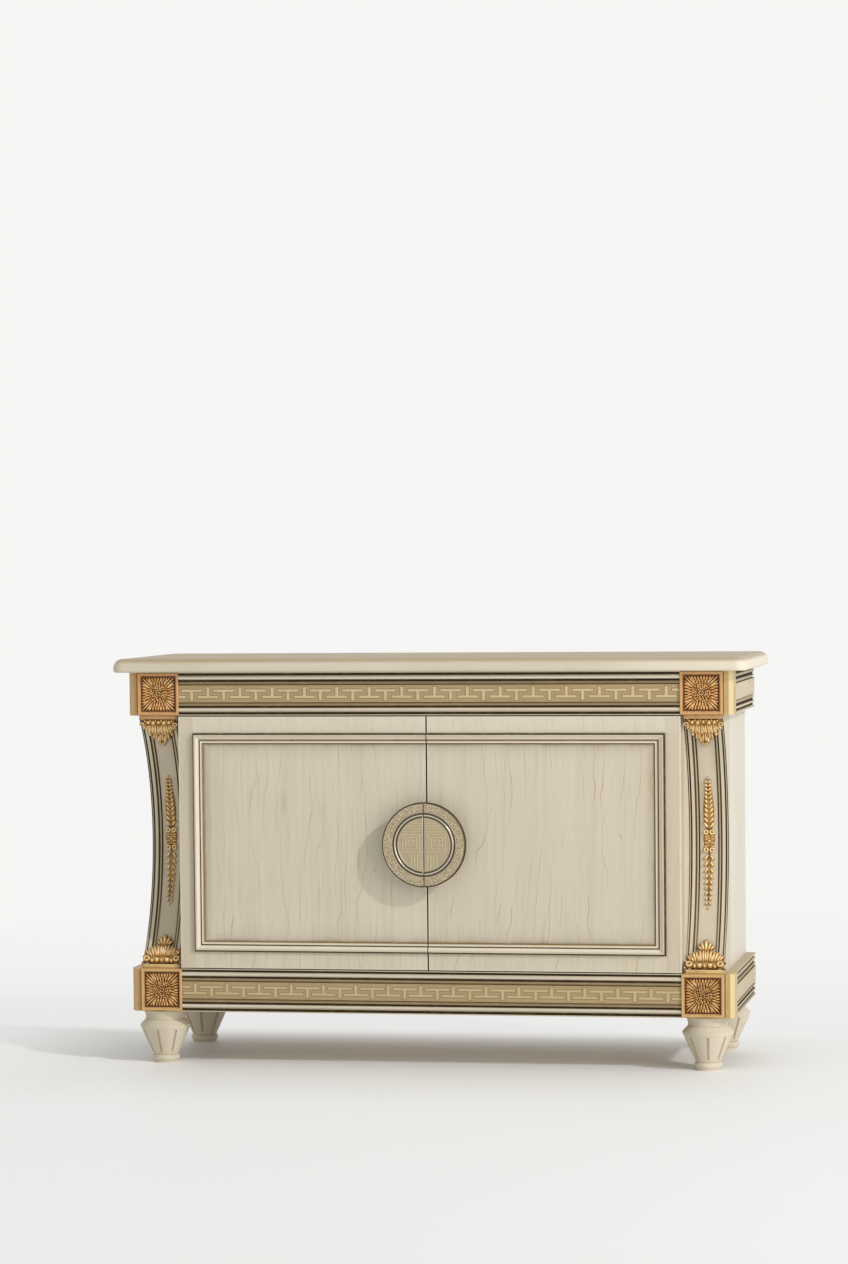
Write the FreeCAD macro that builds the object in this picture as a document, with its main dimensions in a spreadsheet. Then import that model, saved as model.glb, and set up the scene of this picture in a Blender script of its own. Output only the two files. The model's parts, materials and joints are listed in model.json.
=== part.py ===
# Two-door chiffonier with a moulded top, a carved frieze and base, and concave pilasters.
# The front faces -Y, +X is to the right and +Z is up. The origin is under the middle of the
# cabinet, on the floor. All sizes are millimetres and degrees.

import FreeCAD
import Part
import Sketcher
import math
import os
import re

Vector = FreeCAD.Vector

# Driving dimensions: every size that can be set by itself.
SIZES = {
    # Overall box and the top
    "overall_height": 960.0,
    "top_width": 1500.0,
    "side_overhang": 34.0,
    "body_depth": 495.0,
    "top_thickness": 32.0,
    "top_overhang": 24.0,
    "top_corner_radius": 26.0,
    "top_edge_radius": 22.0,
    "top_underside_radius": 6.0,
    # Boards of the carcass
    "board_thickness": 20.0,
    "back_thickness": 8.0,
    "jamb_reveal": 6.0,
    # Frieze and base rails with their beads
    "frieze_height": 102.0,
    "base_height": 102.0,
    "rail_thickness": 28.0,
    "rail_setback": 2.0,
    "rail_lip": 3.5,
    "bead_radius": 3.75,
    "bead_offset": 13.5,
    "quirk_offset": 24.0,
    "quirk_height": 2.5,
    "channel_depth": 4.0,
    "band_margin": 31.0,
    "band_recess": 5.0,
    "inlay_thickness": 2.0,
    # Corner blocks and their square plaques
    "block_width": 122.0,
    "block_depth": 68.0,
    "block_chamfer": 10.0,
    "plaque_margin": 2.0,
    "plaque_inset": 24.0,
    "plaque_thickness": 7.0,
    "plaque_frame": 8.0,
    "plaque_recess": 4.5,
    "plaque_boss_radius": 14.0,
    "plaque_boss_tip": 6.0,
    # Concave pilasters and what is carved on them
    "pilaster_inset": 23.5,
    "pilaster_setback": 14.0,
    "pilaster_wall": 28.0,
    "waist_depth": 122.0,
    "waist_land": 8.0,
    "edge_fillet": 4.0,
    "edge_groove": 3.5,
    "edge_bead": 7.5,
    "groove_depth": 3.0,
    "field_recess": 4.0,
    "leaf_width": 88.0,
    "leaf_shoulder": 26.0,
    "leaf_height": 70.0,
    "leaf_tip": 14.0,
    "leaf_thickness": 11.0,
    "wheat_share": 0.5464,
    "wheat_width": 28.0,
    "wheat_knot": 44.0,
    "wheat_tip": 4.0,
    "wheat_thickness": 7.0,
    # Doors and their pivots
    "door_thickness": 22.0,
    "door_gap": 2.0,
    "door_split": 2.5,
    "hinge_inset": 12.0,
    "pin_radius": 4.0,
    "pin_clearance": 0.05,
    "pin_grip": 22.0,
    "pin_reach": 24.0,
    "bush_wall": 2.0,
    "bush_end": 2.0,
    "washer_radius": 9.0,
    "washer_thickness": 1.8,
    # Three-sided moulding on each door
    "moulding_side_inset": 35.0,
    "moulding_end_inset": 40.0,
    "moulding_quirk": 3.0,
    "moulding_fillet": 3.5,
    "moulding_ovolo": 8.0,
    "moulding_bead": 5.0,
    "moulding_bead_fullness": 0.51,
    "moulding_rise": 9.0,
    "moulding_floor": 2.5,
    "moulding_ovolo_radius": 11.0,
    # Round pull, split in two halves, on posts
    "pull_radius": 99.0,
    "pull_reach": 44.0,
    "pull_thickness": 12.0,
    "pull_edge_radius": 3.0,
    "pull_post_radius": 8.0,
    "pull_post_across": 45.0,
    "pull_post_above": 62.0,
    "ring_radius": 68.6,
    "ring_width": 4.4,
    "ring_height": 2.5,
    "channel_width": 11.0,
    "ring_channel_depth": 2.5,
    "pull_screw_radius": 2.5,
    "pull_screw_grip": 20.0,
    "pull_screw_head_radius": 5.0,
    "pull_screw_head_height": 3.0,
    # Magnetic catch behind the meeting edges
    "catch_width": 64.0,
    "catch_depth": 26.0,
    "catch_height": 16.0,
    "catch_air": 0.5,
    "plate_margin": 4.0,
    "plate_width": 24.0,
    "plate_height": 14.0,
    "plate_thickness": 1.5,
    # Shelf inside
    "shelf_drop": 7.0,
    "shelf_setback": 20.0,
    "shelf_clearance": 1.0,
    "shelf_pin_radius": 3.0,
    "shelf_pin_out": 12.0,
    "shelf_pin_in": 8.0,
    "shelf_pin_inset": 60.0,
    # Turned feet
    "foot_height": 126.0,
    "foot_side_inset": 67.0,
    "foot_front_inset": 57.0,
    "foot_back_inset": 62.0,
    "foot_top_radius": 54.0,
    "foot_neck_radius": 46.5,
    "foot_cove_radius": 30.0,
    "foot_neck_drop": 22.0,
    "foot_collar_drop": 14.0,
    "foot_collar_radius": 59.5,
    "foot_collar_band": 4.0,
    "foot_ankle_radius": 29.0,
    "foot_ankle_height": 19.0,
    "foot_ring_fullness": 0.6,
    "foot_base_height": 5.0,
    "foot_base_radius": 29.5,
    "flute_radius": 3.5,
    "flute_margin": 9.0,
    "flute_phase": 5.0,
    "foot_bolt_radius": 5.0,
    "foot_bolt_depth": 32.0,
    "foot_block_depth": 106.0,
    "foot_block_height": 40.0,
    # Screws in the back panel
    "back_screw_radius": 2.0,
    "back_screw_length": 35.0,
    "back_screw_head_radius": 4.0,
    "back_screw_head_height": 2.5,
    "back_screw_margin": 60.0,
}

# Places worked out from the driving dimensions.
PLACES = {
    "door_face": "(pull_reach - body_depth) / 2",
    "back_face": "door_face + body_depth",
    "back_inner": "back_face - back_thickness",
    "top_front": "door_face - top_overhang",
    "top_edge": "top_width / 2",
    "frieze_top": "overall_height - top_thickness",
    "frieze_bottom": "frieze_top - frieze_height",
    "base_top": "foot_height + base_height",
    "body_edge": "top_edge - side_overhang",
    "opening_edge": "body_edge - block_width",
    "jamb_outer": "opening_edge + jamb_reveal",
    "jamb_inner": "jamb_outer - board_thickness",
    "pilaster_outer": "body_edge - pilaster_inset",
    "pilaster_centre": "(jamb_outer + pilaster_outer) / 2",
    "pilaster_front": "door_face + pilaster_setback",
    "pilaster_back": "door_face + waist_depth + pilaster_wall",
    "pilaster_middle": "(base_top + frieze_bottom) / 2",
    "waist_sag": "waist_depth - pilaster_setback",
    "curve_half": "(frieze_bottom - base_top) / 2 - waist_land",
    "curve_start": "pilaster_middle - curve_half",
    "waist_radius": "(curve_half ^ 2 + waist_sag ^ 2) / (2 * waist_sag)",
    "waist_axis": "door_face + waist_depth - waist_radius",
    "wheat_half": "curve_half * wheat_share",
    "side_inner": "pilaster_outer - board_thickness",
    "rail_front": "door_face + rail_setback",
    "rail_back": "door_face + rail_thickness",
    "channel_floor": "rail_front + channel_depth",
    "band_floor": "rail_front + band_recess",
    "side_floor": "body_edge - channel_depth",
    "block_front": "door_face + plaque_thickness",
    "block_back": "block_front + block_depth",
    "plaque_outer": "body_edge - plaque_inset",
    "plaque_centre": "(opening_edge + plaque_outer) / 2",
    "door_bottom": "base_top + door_gap",
    "door_top": "frieze_bottom - door_gap",
    "door_middle": "(door_bottom + door_top) / 2",
    "door_back": "door_face + door_thickness",
    "meeting_edge": "door_split / 2",
    "hinge_x": "opening_edge - hinge_inset",
    "hinge_y": "door_face + door_thickness / 2",
    "bush_radius": "pin_radius + bush_wall",
    "bush_length": "pin_reach + bush_end",
    "moulding_x": "opening_edge - moulding_side_inset",
    "moulding_top": "door_top - moulding_end_inset",
    "moulding_width": "3 * moulding_quirk + moulding_fillet + moulding_ovolo + moulding_bead",
    "pull_front": "door_face - pull_reach",
    "pull_back": "pull_front + pull_thickness",
    "channel_bottom": "pull_front + ring_channel_depth",
    "catch_front": "door_back + plate_thickness + catch_air",
    "plate_edge": "meeting_edge + plate_margin",
    "shelf_bottom": "door_middle - shelf_drop",
    "shelf_top": "shelf_bottom + board_thickness",
    "shelf_front": "rail_back + shelf_setback",
    "shelf_rear": "back_inner - shelf_clearance",
    "shelf_edge": "jamb_inner - shelf_clearance",
    "foot_x": "body_edge - foot_side_inset",
    "front_foot_y": "door_face + foot_front_inset",
    "rear_foot_y": "back_face - foot_back_inset",
    "foot_middle_y": "(front_foot_y + rear_foot_y) / 2",
    "foot_neck_height": "foot_height - foot_neck_drop",
    "foot_collar_top": "foot_neck_height - foot_collar_drop",
    "foot_collar_bottom": "foot_collar_top - foot_collar_band",
    "cone_run": "foot_collar_radius - foot_ankle_radius",
    "cone_rise": "foot_collar_bottom - foot_ankle_height",
    "cone_length": "sqrt(cone_run ^ 2 + cone_rise ^ 2)",
    "flute_low_radius": "foot_ankle_radius + cone_run * flute_margin / cone_length",
    "flute_low_height": "foot_ankle_height + cone_rise * flute_margin / cone_length",
    "flute_high_radius": "foot_collar_radius - cone_run * flute_margin / cone_length",
    "flute_high_height": "foot_collar_bottom - cone_rise * flute_margin / cone_length",
    "back_screw_x": "jamb_outer - board_thickness / 2",
    "back_screw_low": "foot_height + back_screw_margin",
    "back_screw_high": "frieze_top - back_screw_margin",
}

FLUTE_COUNT = 8
BACK_SCREW_ROWS = 5

RIGHT_TURN = 90.0
FULL_TURN = 360.0
ROD_TURNS = {
    "x": FreeCAD.Rotation(Vector(0, 1, 0), RIGHT_TURN),
    "y": FreeCAD.Rotation(Vector(1, 0, 0), -RIGHT_TURN),
    "z": FreeCAD.Rotation(),
}

doc = FreeCAD.newDocument("chiffonier")
nodes = []


def bind(text, own_sheet=False):
    """Point each name in a formula at its sheet cell."""

    def cell(match):
        word = match.group(0)
        if word in SIZES:
            return "sizes." + word
        if word in PLACES and not own_sheet:
            return "places." + word
        return word

    return re.sub(r"[a-z][a-z0-9_]*", cell, text)


def make_sheets():
    """Fill one sheet with the driving dimensions and one with the places."""
    sizes = doc.addObject("Spreadsheet::Sheet", "sizes")
    for row, (name, number) in enumerate(SIZES.items(), start=1):
        sizes.set(f"A{row}", name)
        sizes.set(f"B{row}", str(number))
        sizes.setAlias(f"B{row}", name)
    places = doc.addObject("Spreadsheet::Sheet", "places")
    for row, (name, formula) in enumerate(PLACES.items(), start=1):
        places.set(f"A{row}", name)
        places.set(f"B{row}", "=" + bind(formula, own_sheet=True))
        places.setAlias(f"B{row}", name)
    doc.recompute()
    return places


places = make_sheets()


def value(text):
    """Number that a formula gives now."""
    return float(places.evalExpression(bind(text)))


def node(solid):
    """Keep a finished piece as one of the named pieces of the cabinet."""
    solid.Label = solid.Name
    nodes.append(solid)
    return solid


def box(name, x, y, z):
    """Board between low and high formulas along each axis."""
    board = doc.addObject("Part::Box", name)
    for size, axis, (low, high) in (("Length", "x", x), ("Width", "y", y), ("Height", "z", z)):
        board.setExpression(size, bind(f"({high}) - ({low})"))
        board.setExpression(f"Placement.Base.{axis}", bind(low))
    return board


def rod(name, along, radius, x, y, z):
    """Round bar; the place along its own axis is a pair of low and high formulas."""
    bar = doc.addObject("Part::Cylinder", name)
    bar.Placement = FreeCAD.Placement(Vector(), ROD_TURNS[along])
    bar.setExpression("Radius", bind(radius))
    for axis, place in (("x", x), ("y", y), ("z", z)):
        if axis == along:
            low, high = place
            bar.setExpression("Height", bind(f"({high}) - ({low})"))
            place = low
        bar.setExpression(f"Placement.Base.{axis}", bind(place))
    return bar


def tube(name, along, outer, inner, x, y, z):
    """Round bar with a bore."""
    return cut(name, rod(name + "_outer", along, outer, x, y, z), [rod(name + "_bore", along, inner, x, y, z)])


def fuse(name, solids):
    """One solid from several that touch."""
    joined = doc.addObject("Part::MultiFuse", name)
    joined.Shapes = solids
    return joined


def cut(name, base, tools):
    """What is left of a solid when the tools are taken away."""
    left = doc.addObject("Part::Cut", name)
    left.Base = base
    left.Tool = tools[0] if len(tools) == 1 else fuse(name + "_tools", tools)
    return left


def common(name, solids):
    """What several solids share."""
    shared = doc.addObject("Part::MultiCommon", name)
    shared.Shapes = solids
    return shared


def group(name, solids):
    """Separate solids that make one set."""
    together = doc.addObject("Part::Compound", name)
    together.Links = solids
    return together


def mirror(name, source, axis, plane="0"):
    """Copy of a solid on the other side of a plane across an axis."""
    copy = doc.addObject("Part::Mirroring", name)
    copy.Source = source
    copy.Normal = Vector(axis == "x", axis == "y", axis == "z")
    copy.setExpression(f"Base.{axis}", bind(plane))
    return copy


def sketch(body, name, plane, corners):
    """Closed outline; a corner with a radius starts an arc, with its centre to the left or right (1, -1)."""
    drawing = body.newObject("Sketcher::SketchObject", name)
    origin_plane = [feature for feature in body.Origin.OriginFeatures if feature.Role == plane][0]
    drawing.AttachmentSupport = [(origin_plane, "")]
    drawing.MapMode = "FlatFace"
    points = [Vector(value(corner[0]), value(corner[1]), 0) for corner in corners]
    ends = []
    for index, corner in enumerate(corners):
        start = points[index]
        stop = points[(index + 1) % len(points)]
        if len(corner) == 2:
            drawing.addGeometry(Part.LineSegment(start, stop))
            ends.append((1, 2))
            continue
        radius = value(corner[2])
        chord = stop - start
        inward = Vector(-chord.y, chord.x, 0).normalize() * corner[3]
        centre = (start + stop) / 2 + inward * math.sqrt(radius ** 2 - (chord.Length / 2) ** 2)
        angles = [math.atan2(point.y - centre.y, point.x - centre.x) for point in (start, stop)]
        if corner[3] < 0:
            angles.reverse()
        drawing.addGeometry(Part.ArcOfCircle(Part.Circle(centre, Vector(0, 0, 1), radius), *angles))
        ends.append((1, 2) if corner[3] > 0 else (2, 1))
    for index, corner in enumerate(corners):
        after = (index + 1) % len(corners)
        drawing.addConstraint(Sketcher.Constraint("Coincident", index, ends[index][1], after, ends[after][0]))
    for index, corner in enumerate(corners):
        for kind, formula in (("DistanceX", corner[0]), ("DistanceY", corner[1])):
            limit = Sketcher.Constraint(kind, -1, 1, index, ends[index][0], value(formula))
            number = drawing.addConstraint(limit)
            drawing.setExpression(f"Constraints[{number}]", bind(formula))
        if len(corner) > 2:
            number = drawing.addConstraint(Sketcher.Constraint("Radius", index, value(corner[2])))
            drawing.setExpression(f"Constraints[{number}]", bind(corner[2]))
    return drawing


def pad(name, plane, corners, length, axis, place):
    """Outline drawn out along the axis across its plane, from a place on it; XZ outlines go to -Y."""
    body = doc.addObject("PartDesign::Body", name)
    feature = body.newObject("PartDesign::Pad", name + "_pad")
    feature.Profile = sketch(body, name + "_outline", plane, corners)
    feature.setExpression("Length", bind(length))
    body.Tip = feature
    body.setExpression(f"Placement.Base.{axis}", bind(place))
    return body


def rounded(body, name, radius, wanted):
    """Round the edges of a body that a test picks."""
    doc.recompute()
    base = body.Tip
    edges = [f"Edge{index}" for index, edge in enumerate(base.Shape.Edges, start=1) if wanted(edge.BoundBox)]
    fillet = body.newObject("PartDesign::Fillet", name)
    fillet.Base = (base, edges)
    fillet.setExpression("Radius", bind(radius))
    body.Tip = fillet


def make_top():
    """Top board with round front corners, an ovolo above and a small round below; its back is square."""
    corners = [
        ("-top_edge", "back_face"),
        ("-top_edge", "top_front + top_corner_radius", "top_corner_radius", 1),
        ("-top_edge + top_corner_radius", "top_front"),
        ("top_edge - top_corner_radius", "top_front", "top_corner_radius", 1),
        ("top_edge", "top_front + top_corner_radius"),
        ("top_edge", "back_face"),
    ]
    body = pad("top_panel", "XY_Plane", corners, "top_thickness", "z", "frieze_top")
    thickness = value("top_thickness")
    back = value("back_face")
    near = 0.01

    def level(bounds, height):
        on_level = abs(bounds.ZMin - height) < near and abs(bounds.ZMax - height) < near
        return on_level and bounds.YMin < back - near

    rounded(body, "top_ovolo", "top_edge_radius", lambda bounds: level(bounds, thickness))
    rounded(body, "top_under_round", "top_underside_radius", lambda bounds: level(bounds, 0.0))
    return node(body)


def relief_bands(low, high):
    """Heights of the two sunk channels, the two beads and the two quirks of a rail."""
    channels = [
        (f"{low} + rail_lip", f"{low} + band_margin"),
        (f"{high} - band_margin", f"{high} - rail_lip"),
    ]
    beads = [f"{low} + bead_offset", f"{high} - bead_offset"]
    quirks = [
        (f"{low} + quirk_offset", f"{low} + quirk_offset + quirk_height"),
        (f"{high} - quirk_offset - quirk_height", f"{high} - quirk_offset"),
    ]
    return channels, beads, quirks


def make_front_rail(name, inlay_name, low, high, pins):
    """Rail across the front: beads and quirks in two sunk channels, and a sunk band that holds an inlay."""
    across = ("-opening_edge", "opening_edge")
    channels, beads, quirks = relief_bands(low, high)
    board = box(name + "_board", across, ("rail_front", "rail_back"), (low, high))
    sunk = [
        box(f"{name}_channel_{index}", across, ("rail_front", "channel_floor"), levels)
        for index, levels in enumerate(channels)
    ]
    band = (channels[0][1], channels[1][0])
    sunk.append(box(name + "_band", across, ("rail_front", "band_floor"), band))
    pieces = [cut(name + "_sunk", board, sunk)]
    for index, height in enumerate(beads):
        pieces.append(rod(f"{name}_bead_{index}", "x", "bead_radius", across, "channel_floor", height))
    for index, levels in enumerate(quirks):
        pieces.append(box(f"{name}_quirk_{index}", across, ("rail_front", "channel_floor"), levels))
    node(cut(name, fuse(name + "_moulded", pieces), pins))
    node(box(inlay_name, across, ("band_floor - inlay_thickness", "band_floor"), band))


def make_side_rail(name, low, high):
    """Plain rail along the right side, with the beads and quirks of the front and no inlay."""
    along = ("block_back", "back_face")
    channels, beads, quirks = relief_bands(low, high)
    board = box(name + "_board", ("side_inner", "body_edge"), along, (low, high))
    sunk = [
        box(f"{name}_channel_{index}", ("side_floor", "body_edge"), along, levels)
        for index, levels in enumerate(channels)
    ]
    pieces = [cut(name + "_sunk", board, sunk)]
    for index, height in enumerate(beads):
        pieces.append(rod(f"{name}_bead_{index}", "y", "bead_radius", "side_floor", along, height))
    for index, levels in enumerate(quirks):
        pieces.append(box(f"{name}_quirk_{index}", ("side_floor", "body_edge"), along, levels))
    return node(fuse(name, pieces))


def make_corner_block(name, low, height, bolts):
    """Gilded block with a chamfered outer corner, rebated over the front of the carcass side."""
    corners = [
        ("opening_edge", "block_front"),
        ("body_edge - block_chamfer", "block_front"),
        ("body_edge", "block_front + block_chamfer"),
        ("body_edge", "block_back"),
        ("jamb_outer", "block_back"),
        ("jamb_outer", "rail_back"),
        ("opening_edge", "rail_back"),
    ]
    if not bolts:
        return node(pad(name, "XY_Plane", corners, height, "z", low))
    return node(cut(name, pad(name + "_blank", "XY_Plane", corners, height, "z", low), bolts))


def make_plaque(name, block_low, block_high):
    """Square plaque with a raised frame, a sunk field and a tapered boss."""
    low = f"{block_low} + plaque_margin"
    high = f"{block_high} - plaque_margin"
    plate = box(name + "_plate", ("opening_edge", "plaque_outer"), ("door_face", "block_front"), (low, high))
    field = box(
        name + "_field",
        ("opening_edge + plaque_frame", "plaque_outer - plaque_frame"),
        ("door_face", "door_face + plaque_recess"),
        (f"{low} + plaque_frame", f"{high} - plaque_frame"),
    )
    boss = doc.addObject("Part::Cone", name + "_boss")
    boss.Placement = FreeCAD.Placement(Vector(), ROD_TURNS["y"])
    boss.setExpression("Radius1", bind("plaque_boss_tip"))
    boss.setExpression("Radius2", bind("plaque_boss_radius"))
    boss.setExpression("Height", bind("plaque_recess"))
    boss.setExpression("Placement.Base.x", bind("plaque_centre"))
    boss.setExpression("Placement.Base.y", bind("door_face"))
    boss.setExpression("Placement.Base.z", bind(f"({block_low} + {block_high}) / 2"))
    return node(fuse(name, [cut(name + "_sunk", plate, [field]), boss]))


def waist(name, radius, x):
    """Round bar across the pilaster that its hollow face follows."""
    return rod(name, "x", radius, x, "waist_axis", "pilaster_middle")


def make_pilaster():
    """Pilaster with a concave front, a sunk field and a bead between grooves along each edge."""
    name = "right_pilaster"
    block = box(
        name + "_block",
        ("jamb_outer", "pilaster_outer"),
        ("pilaster_front", "pilaster_back"),
        ("base_top", "frieze_bottom"),
    )
    groove_in = "edge_fillet"
    groove_out = "edge_fillet + edge_groove"
    cove_in = f"{groove_out} + edge_bead"
    hollows = [
        waist(name + "_hollow", "waist_radius", ("jamb_outer", "pilaster_outer")),
        waist(
            name + "_inner_groove",
            "waist_radius + groove_depth",
            (f"jamb_outer + {groove_in}", f"jamb_outer + {groove_out}"),
        ),
        waist(
            name + "_outer_groove",
            "waist_radius + groove_depth",
            (f"pilaster_outer - ({groove_out})", f"pilaster_outer - ({groove_in})"),
        ),
        waist(
            name + "_field",
            "waist_radius + field_recess",
            (f"jamb_outer + {cove_in}", f"pilaster_outer - ({cove_in})"),
        ),
    ]
    return node(cut(name, block, hollows))


def make_carving(name, corners, seat, thickness):
    """Carving of an outline seen from the front, laid on the hollow face of the pilaster."""
    reach = "waist_sag + field_recess"
    plan = pad(name + "_plan", "XZ_Plane", corners, reach, "y", "pilaster_front + " + reach)
    across = ("jamb_outer", "pilaster_outer")
    shell = cut(
        name + "_shell",
        waist(name + "_shell_outer", seat, across),
        [waist(name + "_shell_inner", f"{seat} - {thickness}", across)],
    )
    return node(common(name, [plan, shell]))


def make_carvings():
    """Leaf cluster at each end of the pilaster, and two wheat ears that meet in a knot."""
    leaf = [
        ("pilaster_centre - leaf_width / 2", "curve_start"),
        ("pilaster_centre + leaf_width / 2", "curve_start"),
        ("pilaster_centre + leaf_width / 2", "curve_start + leaf_shoulder"),
        ("pilaster_centre + leaf_tip / 2", "curve_start + leaf_height"),
        ("pilaster_centre - leaf_tip / 2", "curve_start + leaf_height"),
        ("pilaster_centre - leaf_width / 2", "curve_start + leaf_shoulder"),
    ]
    lower = make_carving("lower_right_acanthus", leaf, "waist_radius", "leaf_thickness")
    node(mirror("upper_right_acanthus", lower, "z", "pilaster_middle"))
    wheat = [
        ("pilaster_centre - wheat_tip / 2", "pilaster_middle - wheat_half"),
        ("pilaster_centre + wheat_tip / 2", "pilaster_middle - wheat_half"),
        ("pilaster_centre + wheat_width / 2", "pilaster_middle - wheat_knot / 2"),
        ("pilaster_centre + wheat_width / 2", "pilaster_middle + wheat_knot / 2"),
        ("pilaster_centre + wheat_tip / 2", "pilaster_middle + wheat_half"),
        ("pilaster_centre - wheat_tip / 2", "pilaster_middle + wheat_half"),
        ("pilaster_centre - wheat_width / 2", "pilaster_middle + wheat_knot / 2"),
        ("pilaster_centre - wheat_width / 2", "pilaster_middle - wheat_knot / 2"),
    ]
    make_carving("right_wheat_ornament", wheat, "waist_radius + field_recess", "wheat_thickness")


def make_back_screws():
    """Flat-head screws that hold the back panel to the right carcass side."""
    screws = []
    for row in range(BACK_SCREW_ROWS):
        share = row / (BACK_SCREW_ROWS - 1)
        height = f"back_screw_low + (back_screw_high - back_screw_low) * {share}"
        name = f"back_screw_{row}"
        shank = rod(
            name + "_shank",
            "y",
            "back_screw_radius",
            "back_screw_x",
            ("back_face - back_screw_length", "back_face"),
            height,
        )
        head = rod(
            name + "_head",
            "y",
            "back_screw_head_radius",
            "back_screw_x",
            ("back_face - back_screw_head_height", "back_face"),
            height,
        )
        screws.append(fuse(name, [shank, head]))
    return screws


def make_shelf_pins():
    """Two pins in the right carcass side, under the shelf."""
    places_along = ("shelf_front + shelf_pin_inset", "shelf_rear - shelf_pin_inset")
    return [
        rod(
            f"shelf_pin_{index}",
            "x",
            "shelf_pin_radius",
            ("jamb_inner - shelf_pin_out", "jamb_inner + shelf_pin_in"),
            along,
            "shelf_bottom - shelf_pin_radius",
        )
        for index, along in enumerate(places_along)
    ]


def both_sides(solids):
    """Solids on the right together with their mirror images on the left."""
    return solids + [mirror(solid.Name + "_left", solid, "x") for solid in solids]


def make_carcass():
    """Boards of the box behind the doors, with the shelf on its pins and the screwed back."""
    screws = make_back_screws()
    shelf_pins = make_shelf_pins()
    side = box(
        "right_carcass_side_board",
        ("jamb_inner", "jamb_outer"),
        ("rail_back", "back_inner"),
        ("foot_height", "frieze_top"),
    )
    node(cut("right_carcass_side", side, shelf_pins + screws))
    node(
        box(
            "right_side_panel",
            ("side_inner", "pilaster_outer"),
            ("pilaster_back", "back_face"),
            ("base_top", "frieze_bottom"),
        )
    )
    inside = ("-jamb_inner", "jamb_inner")
    deep = ("rail_back", "back_inner")
    node(box("sub_top", inside, deep, ("frieze_bottom", "frieze_bottom + board_thickness")))
    node(box("bottom_panel", inside, deep, ("base_top - board_thickness", "base_top")))
    node(
        box(
            "base_back_rail",
            inside,
            ("back_inner - rail_thickness", "back_inner"),
            ("foot_height", "base_top - board_thickness"),
        )
    )
    node(
        box(
            "shelf",
            ("-shelf_edge", "shelf_edge"),
            ("shelf_front", "shelf_rear"),
            ("shelf_bottom", "shelf_top"),
        )
    )
    all_screws = both_sides(screws)
    panel = box(
        "back_panel_board",
        ("-side_inner", "side_inner"),
        ("back_inner", "back_face"),
        ("foot_height", "frieze_top"),
    )
    node(cut("back_panel", panel, all_screws))
    node(group("back_panel_screws", all_screws))
    node(group("shelf_pins", both_sides(shelf_pins)))


def make_foot_blank():
    """Turned foot: cove under the cabinet, sharp collar, fluted cone, ring and base."""
    body = doc.addObject("PartDesign::Body", "foot_blank")
    ring_round = "foot_ring_fullness * (foot_ankle_height - foot_base_height)"
    corners = [
        ("0", "0"),
        ("foot_base_radius", "0"),
        ("foot_base_radius", "foot_base_height", ring_round, 1),
        ("foot_ankle_radius", "foot_ankle_height"),
        ("foot_collar_radius", "foot_collar_bottom"),
        ("foot_collar_radius", "foot_collar_top"),
        ("foot_neck_radius", "foot_neck_height", "foot_cove_radius", -1),
        ("foot_top_radius", "foot_height"),
        ("0", "foot_height"),
    ]
    turned = body.newObject("PartDesign::Revolution", "foot_turning")
    drawing = sketch(body, "foot_outline", "XZ_Plane", corners)
    turned.Profile = drawing
    turned.ReferenceAxis = (drawing, ["V_Axis"])
    turned.Angle = FULL_TURN
    body.Tip = turned
    doc.recompute()
    along = ("flute_radius * cone_run / cone_length", "flute_radius * cone_rise / cone_length")
    low = ("flute_low_radius", "flute_low_height")
    high = ("flute_high_radius", "flute_high_height")
    round_nosed = [
        (f"{low[0]} - {along[0]}", f"{low[1]} - {along[1]}", "flute_radius", 1),
        (f"{low[0]} + {along[1]}", f"{low[1]} - {along[0]}"),
        (f"{high[0]} + {along[1]}", f"{high[1]} - {along[0]}", "flute_radius", 1),
        (f"{high[0]} + {along[0]}", f"{high[1]} + {along[1]}"),
    ]
    gouge = body.newObject("PartDesign::Groove", "flute_gouge")
    gouge_outline = sketch(body, "flute_outline", "XZ_Plane", round_nosed)
    gouge.Profile = gouge_outline
    gouge.ReferenceAxis = (gouge_outline, ["Edge4"])
    gouge.Angle = FULL_TURN
    body.Tip = gouge
    doc.recompute()
    flutes = body.newObject("PartDesign::PolarPattern", "flutes")
    flutes.Originals = [gouge]
    flutes.Axis = (drawing, ["V_Axis"])
    flutes.Angle = FULL_TURN
    flutes.Occurrences = FLUTE_COUNT
    body.Tip = flutes
    body.setExpression("Placement.Base.x", bind("foot_x"))
    body.setExpression("Placement.Base.y", bind("front_foot_y"))
    body.setExpression("Placement.Rotation.Angle", bind("flute_phase"))
    return body


def make_feet():
    """Four feet, each on a bolt, and the blocks that take the bolts at the back."""
    bolt = rod(
        "front_right_foot_bolt",
        "z",
        "foot_bolt_radius",
        "foot_x",
        "front_foot_y",
        ("foot_height - foot_bolt_depth", "foot_height + foot_bolt_depth"),
    )
    rear_bolt = mirror("rear_right_foot_bolt", bolt, "y", "foot_middle_y")
    front = node(cut("front_right_foot", make_foot_blank(), [bolt]))
    rear = node(mirror("rear_right_foot", front, "y", "foot_middle_y"))
    for foot in (front, rear):
        node(mirror(foot.Name.replace("right", "left"), foot, "x"))
    block = box(
        "rear_foot_block_board",
        ("jamb_outer", "side_inner"),
        ("back_inner - foot_block_depth", "back_inner"),
        ("foot_height", "foot_height + foot_block_height"),
    )
    node(group("rear_foot_blocks", both_sides([cut("rear_foot_block", block, [rear_bolt])])))
    node(group("foot_bolts", both_sides([bolt, rear_bolt])))
    return bolt


def make_pivots():
    """Pins that the right door turns on, above and below it."""
    spans = {
        "top": ("door_top - pin_reach", "frieze_bottom + pin_grip"),
        "bottom": ("base_top - pin_grip", "door_bottom + pin_reach"),
    }
    return {
        end: rod(f"pivot_pin_{end}", "z", "pin_radius", "hinge_x", "hinge_y", span)
        for end, span in spans.items()
    }


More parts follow.
